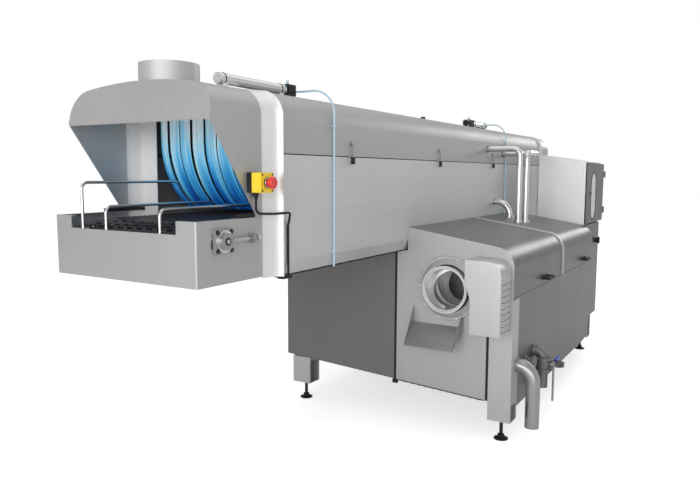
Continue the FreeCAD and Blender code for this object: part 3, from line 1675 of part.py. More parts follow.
def seam_latches():
    """Catches over the tunnel seam, three on each side."""
    pieces = []
    y = -tunnel_half - seat_gap
    for x in latch_places:
        plate = box(
            x - latch_width / 2, x + latch_width / 2, y - latch_depth * 0.4, y,
            seam_height - latch_height * 0.6, seam_height + latch_height * 0.4,
        )
        hook = rod(
            latch_depth * 0.5, V(x - latch_width * 0.3, y - latch_depth * 0.5, seam_height - 4),
            V(x + latch_width * 0.3, y - latch_depth * 0.5, seam_height - 4),
        )
        piece = plate.fuse(hook)
        pieces += [piece, mirror_y(piece)]
    return pieces


def tank_lids():
    """The two covers, the strap over their joint and the side panel below them."""
    return tank_covers() + cover_strap() + filter_side_panel()


def belt_bearings():
    """Take-ups at the infeed and fixed bearings at the outfeed."""
    return belt_takeups() + drive_bearings()


def belt_frame():
    """Slider bars with their bearers, and the return bars."""
    return belt_supports() + return_bars()


def roof_fittings():
    """End blocks of the air cylinders and the roof plug."""
    return cylinder_heads() + roof_plug()


def pipework():
    """Riser pipes and the overflow elbow."""
    return riser_pipes() + overflow_elbow()


def tank_valves():
    """Drain valve with its capped port, and the sample valve."""
    return drain_valve() + sample_valve()


NODES = {
    "legs": legs,
    "levelling_feet": levelling_feet,
    "wash_tank": wash_tank,
    "filter_tank": filter_tank,
    "filter_panels": filter_front_plate,
    "tank_covers": tank_lids,
    "cover_handles": cover_handles,
    "motor_cover": motor_cover,
    "drum_collar": drum_collar,
    "drum_cradle": drum_cradle,
    "rotary_drum": rotary_drum,
    "discharge_chute": discharge_chute,
    "rubber_seals": rubber_seals,
    "tunnel_walls": tunnel_walls,
    "tunnel_roof": tunnel_roof,
    "tunnel_pan": tunnel_pan,
    "mouth_frames": mouth_frames,
    "end_flanges": end_flanges,
    "infeed_hood": infeed_hood,
    "outfeed_hood": outfeed_hood,
    "exhaust_spigot": exhaust_spigot,
    "infeed_trough": infeed_trough,
    "outfeed_trough": outfeed_trough,
    "wear_strips": wear_strips,
    "conveyor_belt": conveyor_belt,
    "belt_shafts": belt_shafts,
    "belt_bearings": belt_bearings,
    "belt_frame": belt_frame,
    "crate_guides": crate_guides,
    "infeed_curtain": infeed_curtain,
    "outfeed_curtain": outfeed_curtain,
    "stop_box_base": estop_base,
    "stop_box_lid": estop_lid,
    "stop_button": estop_button,
    "stop_cable": estop_cable,
    "air_cylinders": air_cylinders,
    "roof_fittings": roof_fittings,
    "air_hoses": air_hoses,
    "rinse_pipes": pipework,
    "drain_pipe": drain_pipe,
    "tank_valves": tank_valves,
    "drain_lever": drain_lever,
    "sample_handle": sample_handle,
    "seam_latches": seam_latches,
    "pump_housing": pump_housing,
    "housing_knob": housing_knob,
    "control_cabinet": control_cabinet,
    "cabinet_door": cabinet_door,
    "door_window": door_window,
    "cabinet_hinges": cabinet_hinges,
}


def main():
    """Build every piece, set the origin at the middle of the footprint and write the files."""
    os.makedirs("parts", exist_ok=True)
    built = {name: Part.makeCompound(make()) for name, make in NODES.items()}
    whole = Part.makeCompound(list(built.values()))
    limits = whole.optimalBoundingBox(False, False)
    origin = V((limits.XMin + limits.XMax) / 2, (limits.YMin + limits.YMax) / 2, 0)
    print("origin in the plant frame", round(origin.x, 3), round(origin.y, 3))
    print("overall size", round(limits.XLength, 1), round(limits.YLength, 1), round(limits.ZLength, 1))
    for name, shape in built.items():
        shape.translate(origin.negative())
        print(name, len(shape.Solids), "solids", round(shape.Volume / 1e6, 3), "litres", shape.isValid())
        shape.exportStep(os.path.join("parts", name + ".step"))


main()
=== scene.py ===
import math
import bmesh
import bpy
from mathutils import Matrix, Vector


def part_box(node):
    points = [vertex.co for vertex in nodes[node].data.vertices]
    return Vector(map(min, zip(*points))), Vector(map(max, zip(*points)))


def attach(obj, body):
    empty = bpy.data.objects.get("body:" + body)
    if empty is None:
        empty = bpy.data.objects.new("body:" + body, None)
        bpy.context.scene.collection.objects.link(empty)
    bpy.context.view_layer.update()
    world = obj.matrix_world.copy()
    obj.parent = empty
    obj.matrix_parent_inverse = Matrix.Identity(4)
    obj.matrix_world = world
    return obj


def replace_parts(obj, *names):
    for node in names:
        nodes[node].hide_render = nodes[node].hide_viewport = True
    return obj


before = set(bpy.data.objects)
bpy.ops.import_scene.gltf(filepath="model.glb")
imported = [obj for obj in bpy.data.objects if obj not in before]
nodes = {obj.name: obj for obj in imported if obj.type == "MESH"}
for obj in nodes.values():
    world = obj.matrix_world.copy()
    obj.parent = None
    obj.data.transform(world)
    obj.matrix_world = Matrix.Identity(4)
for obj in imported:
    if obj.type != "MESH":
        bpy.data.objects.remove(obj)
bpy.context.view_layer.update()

# %% [markdown]
# This plant washes crates. A belt carries them through a long tunnel of brushed stainless
# steel, over a wash tank, and a filter tank with a turning drum cleans the water. The CAD
# gives every sheet and pipe its true shape, so this lesson mostly adds what a drawing
# leaves out: the finish of each metal and plastic, the linked belt, the soft curtains and
# the small fasteners.

roof_low, roof_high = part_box("tunnel_roof")
plant = Vector(((roof_low[0] + roof_high[0]) / 2, (roof_low[1] + roof_high[1]) / 2, 0.0))


def at(x, y, z):
    """A point in millimetres from the middle of the tunnel's floor line, in metres."""
    return plant + Vector((x, y, z)) / 1000


print("tunnel's middle", tuple(round(v, 4) for v in plant))

# %% [markdown]
# A photograph of a long machine keeps its look only if the camera stands where the
# photographer stood. The eye is at 1.2 m, in front of the infeed and out to the side, and
# the three directions below are the camera's own right, up and back. A lens of 34 mm on a
# 36 mm sensor gives the same strong narrowing towards the far end.

# %% Camera
camera_data = bpy.data.cameras.new("camera")
camera_data.lens = 34.125
camera_data.sensor_width = 36.0
camera = bpy.data.objects.new("camera", camera_data)
bpy.context.scene.collection.objects.link(camera)
right = Vector((0.51894, -0.85480, 0.00429))
up = Vector((0.08841, 0.05867, 0.99435))
back = Vector((-0.85022, -0.51563, 0.10602))
turn = Matrix((right, up, back)).transposed().to_4x4()
camera.matrix_world = Matrix.Translation(at(-3411.5, -1736.0, 1200.0)) @ turn
bpy.context.scene.camera = camera
print("camera at", tuple(round(v, 3) for v in camera.location))

# %% [markdown]
# Node trees soon turn into a thicket of lines. One small class keeps them readable: it
# wraps a socket, so that sums and products of sockets are written like any other sum, and
# one method adds every other kind of node.

# %% Shader arithmetic
class Wire:
    """One output socket of a shader tree, with ordinary arithmetic."""

    def __init__(self, tree, socket=None):
        self.tree = tree
        self.socket = socket

    def add(self, kind, sockets=None, out=0, stops=None, **settings):
        node = self.tree.nodes.new(kind)
        for name, value in settings.items():
            setattr(node, name, value)
        if stops:
            ramp = node.color_ramp
            while len(ramp.elements) < len(stops):
                ramp.elements.new(0.5)
            for element, (place, colour) in zip(ramp.elements, stops):
                element.position = place
                element.color = colour
        for name, value in (sockets or {}).items():
            if isinstance(value, Wire):
                self.tree.links.new(value.socket, node.inputs[name])
            else:
                node.inputs[name].default_value = value
        return Wire(self.tree, node.outputs[out]) if len(node.outputs) else node

    def maths(self, operation, first, second=0.0):
        return self.add("ShaderNodeMath", {0: first, 1: second}, operation=operation)

    def __add__(self, other):
        return self.maths("ADD", self, other)

    def __radd__(self, other):
        return self.maths("ADD", other, self)

    def __sub__(self, other):
        return self.maths("SUBTRACT", self, other)

    def __rsub__(self, other):
        return self.maths("SUBTRACT", other, self)

    def __mul__(self, other):
        return self.maths("MULTIPLY", self, other)

    def __rmul__(self, other):
        return self.maths("MULTIPLY", other, self)

    def __truediv__(self, other):
        return self.maths("DIVIDE", self, other)

    def blend(self, first, second):
        """A colour between two others, by this value."""
        return self.add("ShaderNodeMix", {0: self, 6: first, 7: second}, out=2, data_type="RGBA")

    def ramp(self, *stops):
        return self.add("ShaderNodeValToRGB", {0: self}, stops=stops)


def rgb(value, alpha=1.0):
    """A grey or a colour of three numbers as four."""
    if isinstance(value, (int, float)):
        value = (value, value, value)
    return (*value, alpha)


def new_material(name):
    """An empty material, and a Wire that adds nodes to it."""
    material = bpy.data.materials.new(name)
    material.use_nodes = True
    material.node_tree.nodes.clear()
    return material, Wire(material.node_tree)


def close_material(material, start, **sockets):
    """Ends a tree in the plain physical shader, with its sockets given by name."""
    named = {key.replace("_", " "): value for key, value in sockets.items()}
    shader = start.add("ShaderNodeBsdfPrincipled", named)
    start.add("ShaderNodeOutputMaterial", {"Surface": shader})
    return material


def stretched(start, scale):
    """Coordinates of the piece itself, scaled along each axis."""
    here = start.add("ShaderNodeTexCoord", out="Object")
    return start.add("ShaderNodeMapping", {"Vector": here, "Scale": scale})


def noise(start, where, scale, detail=3.0, rough=0.55):
    """Smooth random values from 0 to 1."""
    return start.add(
        "ShaderNodeTexNoise",
        {"Vector": where, "Scale": scale, "Detail": detail, "Roughness": rough},
        out="Fac",
    )


# %% [markdown]
# Brushed stainless steel is drawn along one direction at the mill, so its grain is a very
# long noise: fine across the brush lines and slow along them. Over that lie faint cloudy
# patches where hands, water and detergent have been. Both only change the colour, the
# roughness and a very low bump, because a sheet of steel is flat. The tunnel, the tanks
# and the hoods come from different sheets, so each gets its own tone and grain. The tones
# are partly the sheets' own and partly painted light and shade, set part by part: the
# darker tank and base steels paint shade, and the pale flange steel a highlight.

# %% Brushed stainless steel
def brushed_steel(name, tone, grain, rough=0.42, metal=0.55, cloud=0.10, tint=(1.0, 1.0, 1.0)):
    material, start = new_material(name)
    along = {"X": (1.0, 60.0, 60.0), "Y": (60.0, 1.0, 60.0), "Z": (60.0, 60.0, 1.0)}[grain]
    lines = noise(start, stretched(start, along), 9.0, 4.0, 0.7)
    bands = noise(start, stretched(start, along), 0.8, 2.0, 0.5)
    patches = noise(start, stretched(start, (1.0, 1.0, 1.0)), 2.6, 4.0, 0.6)
    shade = (lines - 0.5) * 0.22 + (bands - 0.5) * 0.16 + (patches - 0.5) * cloud * 2
    low = rgb([max(0.0, tone * c * 0.72) for c in tint])
    high = rgb([min(1.0, tone * c * 1.28) for c in tint])
    colour = (shade + 0.5).blend(low, high)
    bump = start.add("ShaderNodeBump", {"Strength": 0.12, "Distance": 0.0004, "Height": lines})
    return close_material(
        material, start, Base_Color=colour, Metallic=metal,
        Roughness=(patches - 0.5) * 0.16 + (lines - 0.5) * 0.12 + rough, Normal=bump,
    )


steel_hood = brushed_steel("steel_hood", 0.46, "Z", tint=(1.0, 0.98, 0.985))
steel_tunnel = brushed_steel("steel_tunnel", 0.62, "X", rough=0.44, tint=(0.98, 0.98, 1.0))
steel_roof = brushed_steel("steel_roof", 0.44, "X", rough=0.46, tint=(1.0, 1.0, 0.985))
# Olive-grey tank steel; its very low tone is partly the steel's own and partly painted shade on the
# tanks' dark long side.
steel_tank = brushed_steel(
    "steel_tank", 0.19, "X", rough=0.38, metal=0.85, cloud=0.14, tint=(0.99, 1.0, 0.955),
)
# The wash tank's steel has a very dark tone: painted shade for the shadow under the overhanging
# tunnel and hood.
shaded_base_steel = brushed_steel("shaded_base_steel", 0.17, "Z", rough=0.50, metal=0.4, tint=(1.0, 1.0, 0.96))
steel_front = brushed_steel("steel_front", 0.46, "Z", rough=0.44, tint=(1.0, 0.975, 0.985))
steel_leg = brushed_steel("steel_leg", 0.50, "Z", rough=0.46, tint=(1.0, 0.98, 0.975))
steel_bright = brushed_steel("steel_bright", 0.72, "X", rough=0.24, metal=0.95, cloud=0.05)
steel_pipe = brushed_steel("steel_pipe", 0.38, "Z", rough=0.30, metal=0.85, cloud=0.06)
steel_drum = brushed_steel("steel_drum", 0.62, "X", rough=0.32, metal=0.6, cloud=0.06)
# Dark cast steel: the valves' own finish; on the cabinet door the same dark tone is painted shade.
cast_steel_and_door_shade = brushed_steel("cast_steel_and_door_shade", 0.20, "Z", rough=0.50, cloud=0.22)
# Pale steel; on the end flanges its pale tone is partly their own and partly a painted highlight on
# their rounded bend.
steel_pale = brushed_steel("steel_pale", 0.84, "Z", rough=0.42, metal=0.45)
steel_spigot = brushed_steel("steel_spigot", 0.50, "Z", rough=0.50, metal=0.4)
steel_cover = brushed_steel("steel_cover", 0.54, "Z", rough=0.40, metal=0.9, cloud=0.06)
steel_chute = brushed_steel("steel_chute", 0.36, "Z", rough=0.40, metal=0.7, tint=(0.98, 1.0, 0.97))
steel_dark = brushed_steel("steel_dark", 0.055, "Z", rough=0.40, metal=0.7, cloud=0.2)

# %% [markdown]
# Moulded plastics and rubber are not metals, so their colour lies in the body of the
# material. What makes them look real is a fine orange-peel bump from the mould and dull
# patches where they are rubbed, which are wide and soft.

# %% Plastics and rubber
def moulded(name, colour, rough=0.45, peel=220.0, depth=0.0003, dirt=0.10, coat=0.0, shine=0.5):
    material, start = new_material(name)
    where = stretched(start, (1.0, 1.0, 1.0))
    rubbed = noise(start, where, 14.0, 4.0, 0.6)
    grain = noise(start, where, peel, 2.0, 0.5)
    worn = rgb([min(1.0, c * (1 + dirt) + dirt * 0.12) for c in colour])
    bump = start.add("ShaderNodeBump", {"Strength": 0.25, "Distance": depth, "Height": grain})
    return close_material(
        material, start, Base_Color=rubbed.blend(rgb(colour), worn),
        Roughness=(rubbed - 0.5) * 0.2 + rough, Normal=bump, Coat_Weight=coat,
        Specular_IOR_Level=shine,
    )


black_plastic = moulded("black_plastic", (0.010, 0.010, 0.011), rough=0.55, shine=0.3, dirt=0.04)
black_rubber = moulded("black_rubber", (0.010, 0.010, 0.010), rough=0.62, dirt=0.05, shine=0.3)
belt_plastic = moulded("belt_plastic", (0.014, 0.013, 0.018), rough=0.36, dirt=0.08, shine=0.45)
yellow_plastic = moulded("yellow_plastic", (0.85, 0.62, 0.02), rough=0.32, coat=0.2)
red_plastic = moulded("red_plastic", (0.72, 0.03, 0.02), rough=0.28, coat=0.3)
blue_plastic = moulded("blue_plastic", (0.03, 0.10, 0.55), rough=0.34, coat=0.2)
hose_plastic = moulded("hose_plastic", (0.44, 0.62, 0.72), rough=0.22, coat=0.4, dirt=0.1)

# %% [markdown]
# The curtain strips are soft clear plastic tinted blue. Light comes through them, so they
# look pale near the top, where the hood is bright, and deep blue lower down, where the dark
# tunnel stands behind them. A colour ramp runs down each strip's own UV map, and long
# narrow streaks keep the strips from looking like paint. A weak glow of the same colour
# stands for the light that comes through from behind.

# %% Curtain plastic
def curtain_plastic(name):
    material, start = new_material(name)
    here = start.add("ShaderNodeUVMap", uv_map="strip")
    across = start.add("ShaderNodeMapping", {"Vector": here, "Scale": (13.0, 0.5, 1.0)})
    fine = start.add("ShaderNodeMapping", {"Vector": here, "Scale": (42.0, 1.3, 1.0)})
    height = start.add("ShaderNodeSeparateXYZ", {0: here}, out="Y")
    broad = noise(start, across, 1.0, 3.0, 0.6)
    narrow = noise(start, fine, 1.0, 2.0, 0.5)
    value = height * 0.80 + (broad - 0.5) * 1.05 + (narrow - 0.5) * 0.70 + 0.12
    colour = value.ramp(
        (0.0, (0.004, 0.06, 0.34, 1.0)), (0.20, (0.010, 0.14, 0.58, 1.0)),
        (0.40, (0.04, 0.36, 0.80, 1.0)), (0.60, (0.16, 0.58, 0.90, 1.0)),
        (0.80, (0.46, 0.80, 0.96, 1.0)), (1.0, (0.90, 0.97, 1.0, 1.0)),
    )
    return close_material(
        material, start, Base_Color=colour, Roughness=(broad - 0.5) * 0.12 + 0.26,
        IOR=1.45, Coat_Weight=0.35, Emission_Color=colour, Emission_Strength=0.06,
    )


blue_curtain = curtain_plastic("blue_curtain")

# %% Window glass
glass_material, glass_start = new_material("window_glass")
smear = noise(glass_start, stretched(glass_start, (1.0, 1.0, 1.0)), 9.0, 3.0, 0.5)
close_material(
    glass_material, glass_start, Base_Color=(0.84, 0.86, 0.87, 1.0),
    Roughness=(smear - 0.5) * 0.06 + 0.10, Alpha=(smear - 0.5) * 0.06 + 0.88, Coat_Weight=1.0,
)

# %% [markdown]
# Every CAD node now gets its finish. A table from node to material keeps this in one
# place, so that a change of tone is a change of one word.

# %% Finishes on the CAD nodes
finishes = {
    # The wash tank's dark steel is painted shade under the tunnel.
    "legs": steel_leg, "levelling_feet": black_plastic, "wash_tank": shaded_base_steel,
    "filter_tank": steel_tank, "filter_panels": steel_front, "tank_covers": steel_tank,
    "cover_handles": black_plastic, "motor_cover": steel_cover, "drum_collar": steel_front,
    "drum_cradle": steel_tank, "rotary_drum": steel_drum, "discharge_chute": steel_chute,
    "rubber_seals": black_rubber, "tunnel_walls": steel_tunnel, "tunnel_roof": steel_roof,
    # The end flanges' pale steel is partly a painted highlight on their rounded bend.
    "tunnel_pan": steel_tunnel, "mouth_frames": steel_pale, "end_flanges": steel_pale,
    "infeed_hood": steel_hood, "outfeed_hood": steel_hood, "exhaust_spigot": steel_spigot,
    "infeed_trough": steel_hood, "outfeed_trough": steel_hood, "wear_strips": black_plastic,
    "conveyor_belt": belt_plastic, "belt_shafts": steel_bright, "belt_bearings": steel_pipe,
    "belt_frame": steel_tank, "crate_guides": steel_bright, "infeed_curtain": blue_curtain,
    "outfeed_curtain": blue_curtain, "stop_box_base": black_plastic, "stop_box_lid": yellow_plastic,
    "stop_button": red_plastic, "stop_cable": black_rubber, "air_cylinders": steel_bright,
    "roof_fittings": black_plastic, "air_hoses": hose_plastic, "rinse_pipes": steel_bright,
    "drain_pipe": steel_pipe, "tank_valves": cast_steel_and_door_shade, "drain_lever": steel_pipe,
    "sample_handle": blue_plastic, "seam_latches": steel_roof, "pump_housing": steel_tank,
    # The cabinet door's dark steel is painted shade over the door.
    "housing_knob": black_plastic, "control_cabinet": steel_pale, "cabinet_door": cast_steel_and_door_shade,
    "door_window": glass_material, "cabinet_hinges": steel_bright,
}
for name, material in finishes.items():
    piece = nodes[name]
    piece.data.materials.clear()
    piece.data.materials.append(material)
print(len(finishes), "of", len(nodes), "nodes finished; left:", sorted(set(nodes) - set(finishes)))

# %% [markdown]
# Small metal and plastic parts are cut from blocks and turned from bars, in life and here.
# Three helpers add a block, a turned bar or a ring to one mesh, so that a whole fitting is
# a few lines, and one more closes the mesh, softens its edges with a small bevel and gives
# it to the body that it moves with.

# %% Mesh helpers
def add_block(mesh, low, high):
    """A block between two corners, in millimetres in the plant's own frame."""
    a, b = at(*low), at(*high)
    made = bmesh.ops.create_cube(mesh, size=1.0)
    for vert in made["verts"]:
        vert.co = Vector([a[i] + (b[i] - a[i]) * (vert.co[i] + 0.5) for i in range(3)])


def add_bar(mesh, start, end, radius, tip=None, sides=20):
    """A round or many-sided bar, which may taper to another radius at its end."""
    a, b = at(*start), at(*end)
    along = b - a
    turn = along.to_track_quat("Z", "Y").to_matrix().to_4x4()
    bmesh.ops.create_cone(
        mesh, cap_ends=True, segments=sides, radius1=radius / 1000,
        radius2=(radius if tip is None else tip) / 1000, depth=along.length,
        matrix=Matrix.Translation((a + b) / 2) @ turn,
    )


def add_ring(mesh, centre, axis, radius, thick, sides=40, around=8):
    """A round ring about an axis."""
    turn = Vector(axis).to_track_quat("Z", "Y")
    middle = at(*centre)
    rows = []
    for i in range(sides):
        angle = 2 * math.pi * i / sides
        out = Vector((math.cos(angle), math.sin(angle), 0.0))
        row = []
        for j in range(around):
            roll = 2 * math.pi * j / around
            local = out * (radius + thick * math.cos(roll)) + Vector((0, 0, thick * math.sin(roll)))
            row.append(mesh.verts.new(middle + turn @ local / 1000))
        rows.append(row)
    for i in range(sides):
        for j in range(around):
            first, second = rows[i], rows[(i + 1) % sides]
            mesh.faces.new((first[j], second[j], second[(j + 1) % around], first[(j + 1) % around]))


def finish_piece(name, mesh, material, body="plant", bevel=0.0):
    """Turns a built mesh into a finished piece at the origin."""
    bmesh.ops.recalc_face_normals(mesh, faces=mesh.faces)
    data = bpy.data.meshes.new(name)
    mesh.to_mesh(data)
    mesh.free()
    data.materials.append(material)
    piece = bpy.data.objects.new(name, data)
    bpy.context.scene.collection.objects.link(piece)
    if bevel:
        soften = piece.modifiers.new("soft_edges", "BEVEL")
        soften.width = bevel / 1000
        soften.segments = 2
        soften.limit_method = "ANGLE"
    for face in data.polygons:
        face.use_smooth = True
    data.set_sharp_from_angle(angle=math.radians(35))
    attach(piece, body)
    print(name, len(data.polygons), "faces on", body)
    return piece


# %% [markdown]
# Links, rivets and bolts repeat, so Geometry Nodes place them. This helper starts a tree
# with named inputs, and the next one runs a tree on a base mesh, keeps the plain result and
# drops the modifier, because an export loses instances.

# %% Geometry Nodes helpers
def start_tree(name, inputs):
    """A node group with a mesh in and out, and named inputs with their first values."""
    tree = bpy.data.node_groups.new(name, "GeometryNodeTree")
    tree.interface.new_socket("Mesh", in_out="INPUT", socket_type="NodeSocketGeometry")
    sockets = {}
    for label, kind, value in inputs:
        item = tree.interface.new_socket(label, in_out="INPUT", socket_type=kind)
        if value is not None:
            item.default_value = value
        sockets[label] = item.identifier
    tree.interface.new_socket("Mesh", in_out="OUTPUT", socket_type="NodeSocketGeometry")
    entry = tree.nodes.new("NodeGroupInput")
    given = {socket.name: Wire(tree, socket) for socket in entry.outputs if socket.name}
    return tree, given, sockets


def end_tree(given, result, material):
    """Makes the copies real, gives them their material and ends the tree."""
    real = result.add("GeometryNodeRealizeInstances", {0: result})
    done = real.add("GeometryNodeSetMaterial", {"Geometry": real, "Material": material})
    exit_node = real.tree.nodes.new("NodeGroupOutput")
    real.tree.links.new(done.socket, exit_node.inputs[0])


def run_tree(name, base, tree, values, body="plant"):
    """Evaluates the tree on a base mesh and keeps the result as a finished piece."""
    carrier = bpy.data.objects.new(name + "_base", base)
    bpy.context.scene.collection.objects.link(carrier)
    modifier = carrier.modifiers.new("nodes", "NODES")
    modifier.node_group = tree
    for identifier, value in values.items():
        modifier[identifier] = value
    bpy.context.view_layer.update()
    graph = bpy.context.evaluated_depsgraph_get()
    data = bpy.data.meshes.new_from_object(carrier.evaluated_get(graph))
    carrier.modifiers.clear()
    bpy.data.objects.remove(carrier)
    data.name = name
    piece = bpy.data.objects.new(name, data)
    bpy.context.scene.collection.objects.link(piece)
    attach(piece, body)
    print(name, len(data.polygons), "faces")
    return piece


def stock(name, mesh):
    """A small shape at the origin that a tree copies."""
    bmesh.ops.recalc_face_normals(mesh, faces=mesh.faces)
    data = bpy.data.meshes.new(name)
    mesh.to_mesh(data)
    mesh.free()
    return bpy.data.objects.new(name, data)


# %% [markdown]
# The belt is a chain of short plastic links, each as wide as the belt, with fingers that
# reach between the fingers of the next and a rod through both. One link is modelled, and
# the tree walks round the loop: it samples the closed path at equal steps and turns each
# link to the path's tangent, so the links also wrap round both noses.

# %% One belt link
belt_half, link_pitch, link_thick = 235.0, 25.4, 9.0
link = bmesh.new()


def link_block(x0, x1, y0, y1, z0, z1):
    made = bmesh.ops.create_cube(link, size=1.0)
    for vert in made["verts"]:
        vert.co = Vector((
            x0 + (x1 - x0) * (vert.co.x + 0.5), y0 + (y1 - y0) * (vert.co.y + 0.5),
            z0 + (z1 - z0) * (vert.co.z + 0.5),
        )) / 1000


link_block(-4.5, 4.5, -belt_half, belt_half, -link_thick / 2, link_thick / 2)
finger_count = 20
finger_step = 2 * belt_half / finger_count
for index in range(finger_count):
    middle = -belt_half + finger_step * (index + 0.5)
    ahead = index % 2 == 0
    x0, x1 = (4.0, 16.5) if ahead else (-16.5, -4.0)
    link_block(x0, x1, middle - finger_step * 0.42, middle + finger_step * 0.42, -3.6, 3.2)
belt_link = stock("belt_link", link)
print("one link", len(belt_link.data.polygons), "faces")

# %% The loop that the links follow
nose_x, nose_z, mid_radius = 1866.5, 990.0, 45.2
loop = bmesh.new()
ring = []
for side, middle in ((1, nose_x), (-1, -nose_x)):
    for step in range(25):
        angle = math.pi / 2 - math.pi * step / 24
        ring.append(loop.verts.new(at(
            middle + side * mid_radius * math.cos(angle), 0.0,
            nose_z + side * mid_radius * math.sin(angle),
        )))
for first, second in zip(ring, ring[1:] + ring[:1]):
    loop.edges.new((first, second))
loop_data = bpy.data.meshes.new("belt_path")
loop.to_mesh(loop_data)
loop.free()
path_length = 4 * nose_x + 2 * math.pi * mid_radius
link_count = round(path_length / link_pitch)
print("belt path", round(path_length), "mm,", link_count, "links")

# %% The belt
tree, given, sockets = start_tree("link_loop", [
    ("Links", "NodeSocketInt", 300), ("Link", "NodeSocketObject", None),
    ("Finish", "NodeSocketMaterial", None),
])
path = given["Mesh"].add("GeometryNodeMeshToCurve", {0: given["Mesh"]})
steps = path.add("GeometryNodeResampleCurve", {"Curve": path, "Count": given["Links"]})
tangent = path.add("GeometryNodeInputTangent")
facing = path.add(
    "FunctionNodeAxesToRotation", {0: tangent, 1: (0.0, 1.0, 0.0)},
    primary_axis="X", secondary_axis="Y",
)
shape = path.add("GeometryNodeObjectInfo", {"Object": given["Link"]}, out="Geometry")
copies = steps.add("GeometryNodeInstanceOnPoints", {
    "Points": steps, "Instance": shape, "Rotation": facing,
})
end_tree(given, copies, given["Finish"])
belt = run_tree("belt_links", loop_data, tree, {
    sockets["Links"]: link_count, sockets["Link"]: belt_link, sockets["Finish"]: belt_plastic,
})
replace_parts(belt, "conveyor_belt")

# %% [markdown]
# Bolts all look alike, so one hexagon head on a washer serves everywhere. The tree reads
# two things from its base mesh: each vertex is the middle of a head, and a vector stored on
# it says which way the head looks. A second number sets its size.

# %% One bolt head, and a tree that sets it on points
head = bmesh.new()
for sides, low, high, wide in ((16, 0.0, 0.14, 1.25), (6, 0.14, 0.78, 0.98), (6, 0.78, 0.86, 0.86)):
    bmesh.ops.create_cone(
        head, cap_ends=True, segments=sides, radius1=wide,
        radius2=wide * (1.0 if high < 0.8 else 0.9), depth=high - low,
        matrix=Matrix.Translation((0, 0, (low + high) / 2)),
    )
bolt_head = stock("bolt_head", head)

bolt_tree, given, bolt_sockets = start_tree("bolts_on_points", [
    ("Head", "NodeSocketObject", None), ("Finish", "NodeSocketMaterial", None),
])
points = given["Mesh"].add("GeometryNodeMeshToPoints", {"Mesh": given["Mesh"]})
look = points.add("GeometryNodeInputNamedAttribute", {"Name": "facing"}, data_type="FLOAT_VECTOR")
size = points.add("GeometryNodeInputNamedAttribute", {"Name": "size"}, data_type="FLOAT")
turned = points.add("FunctionNodeAlignRotationToVector", {"Vector": look}, axis="Z")
shape = points.add("GeometryNodeObjectInfo", {"Object": given["Head"]}, out="Geometry")
copies = points.add("GeometryNodeInstanceOnPoints", {
    "Points": points, "Instance": shape, "Rotation": turned, "Scale": size,
})
end_tree(given, copies, given["Finish"])


def set_bolts(name, places, material, body="plant"):
    """Bolt heads at (x, y, z, facing, radius) places, in millimetres."""
    base = bpy.data.meshes.new(name + "_points")
    base.from_pydata([at(*place[:3]) for place in places], [], [])
    base.attributes.new("facing", "FLOAT_VECTOR", "POINT")
    base.attributes.new("size", "FLOAT", "POINT")
    for index, place in enumerate(places):
        base.attributes["facing"].data[index].vector = place[3]
        base.attributes["size"].data[index].value = place[4] / 1000
    return run_tree(name, base, bolt_tree, {
        bolt_sockets["Head"]: bolt_head, bolt_sockets["Finish"]: material,
    }, body)


# %% [markdown]
# A soft curtain keeps splashes inside. Each strip hangs from the shelf over the mouth and
# sweeps inwards along the belt, because crates keep pushing it that way. A strip is a
# closed ribbon with low ribs along it, so that it catches the light in lines as clear
# ribbed strip does, and it follows the curve of its CAD solid, a straight run and an arc.

# %% Curtain strips
strip_edges = [-238.0, -171.0, -108.0, -46.0, 12.0, 79.0, 138.0, 197.0, 238.0]
strip_top, strip_turn, strip_low, strip_sweep = 1400.0, 1320.0, 1060.0, 145.0
strip_radius = ((strip_turn - strip_low) ** 2 + strip_sweep ** 2) / (2 * strip_sweep)


# Wider slots where a guide rod passes, and none at the two outer edges
slot_half = {-171.0: 6.6, 79.0: 6.6, 197.0: 6.6, 12.0: 5.0, -238.0: 0.0, 238.0: 0.0}


def strip_point(hang_x, y, share, off):
    """A point on a strip: share 0 is its top and 1 its lower edge, off is along its normal."""
    straight = strip_top - strip_turn
    turn_all = math.asin((strip_turn - strip_low) / strip_radius)
    length = straight + strip_radius * turn_all
    run = share * length
    if run <= straight:
        return hang_x + off, y, strip_top - run
    turn = (run - straight) / strip_radius
    size = strip_radius - off
    return hang_x + strip_radius - size * math.cos(turn), y, strip_turn - size * math.sin(turn)


def strip_mesh(name, hang_x):
    mesh = bmesh.new()
    uv = mesh.loops.layers.uv.new("strip")
    rows, columns = 30, 14
    for edge, far_edge in zip(strip_edges, strip_edges[1:]):
        y0 = edge + slot_half.get(edge, 2.4)
        y1 = far_edge - slot_half.get(far_edge, 2.4)
        grid, marks = [], {}
        for row in range(rows + 1):
            share = row / rows
            line = []
            for side in (0, 1):
                order = range(columns + 1) if side == 0 else range(columns, -1, -1)
                for column in order:
                    across = column / columns
                    rib = 0.35 * (1 + math.cos(across * 6 * math.pi))
                    edge_thin = 0.6 if column in (0, columns) else 0.0
                    off = (rib + edge_thin) if side == 0 else 3.0 - rib - edge_thin
                    point = at(*strip_point(hang_x, y0 + (y1 - y0) * across, share, off))
                    vert = mesh.verts.new(point)
                    marks[vert] = ((y0 + (y1 - y0) * across + 240) / 480, 1 - share)
                    line.append(vert)
            grid.append(line)
        around = len(grid[0])
        faces = []
        for first, second in zip(grid, grid[1:]):
            for j in range(around):
                k = (j + 1) % around
                faces.append(mesh.faces.new((first[j], first[k], second[k], second[j])))
        faces.append(mesh.faces.new(list(reversed(grid[0]))))
        faces.append(mesh.faces.new(grid[-1]))
        for face in faces:
            for corner in face.loops:
                corner[uv].uv = marks[corner.vert]
    piece = finish_piece(name, mesh, blue_curtain)
    for face in piece.data.polygons:
        face.use_smooth = len(face.vertices) == 4
    return piece


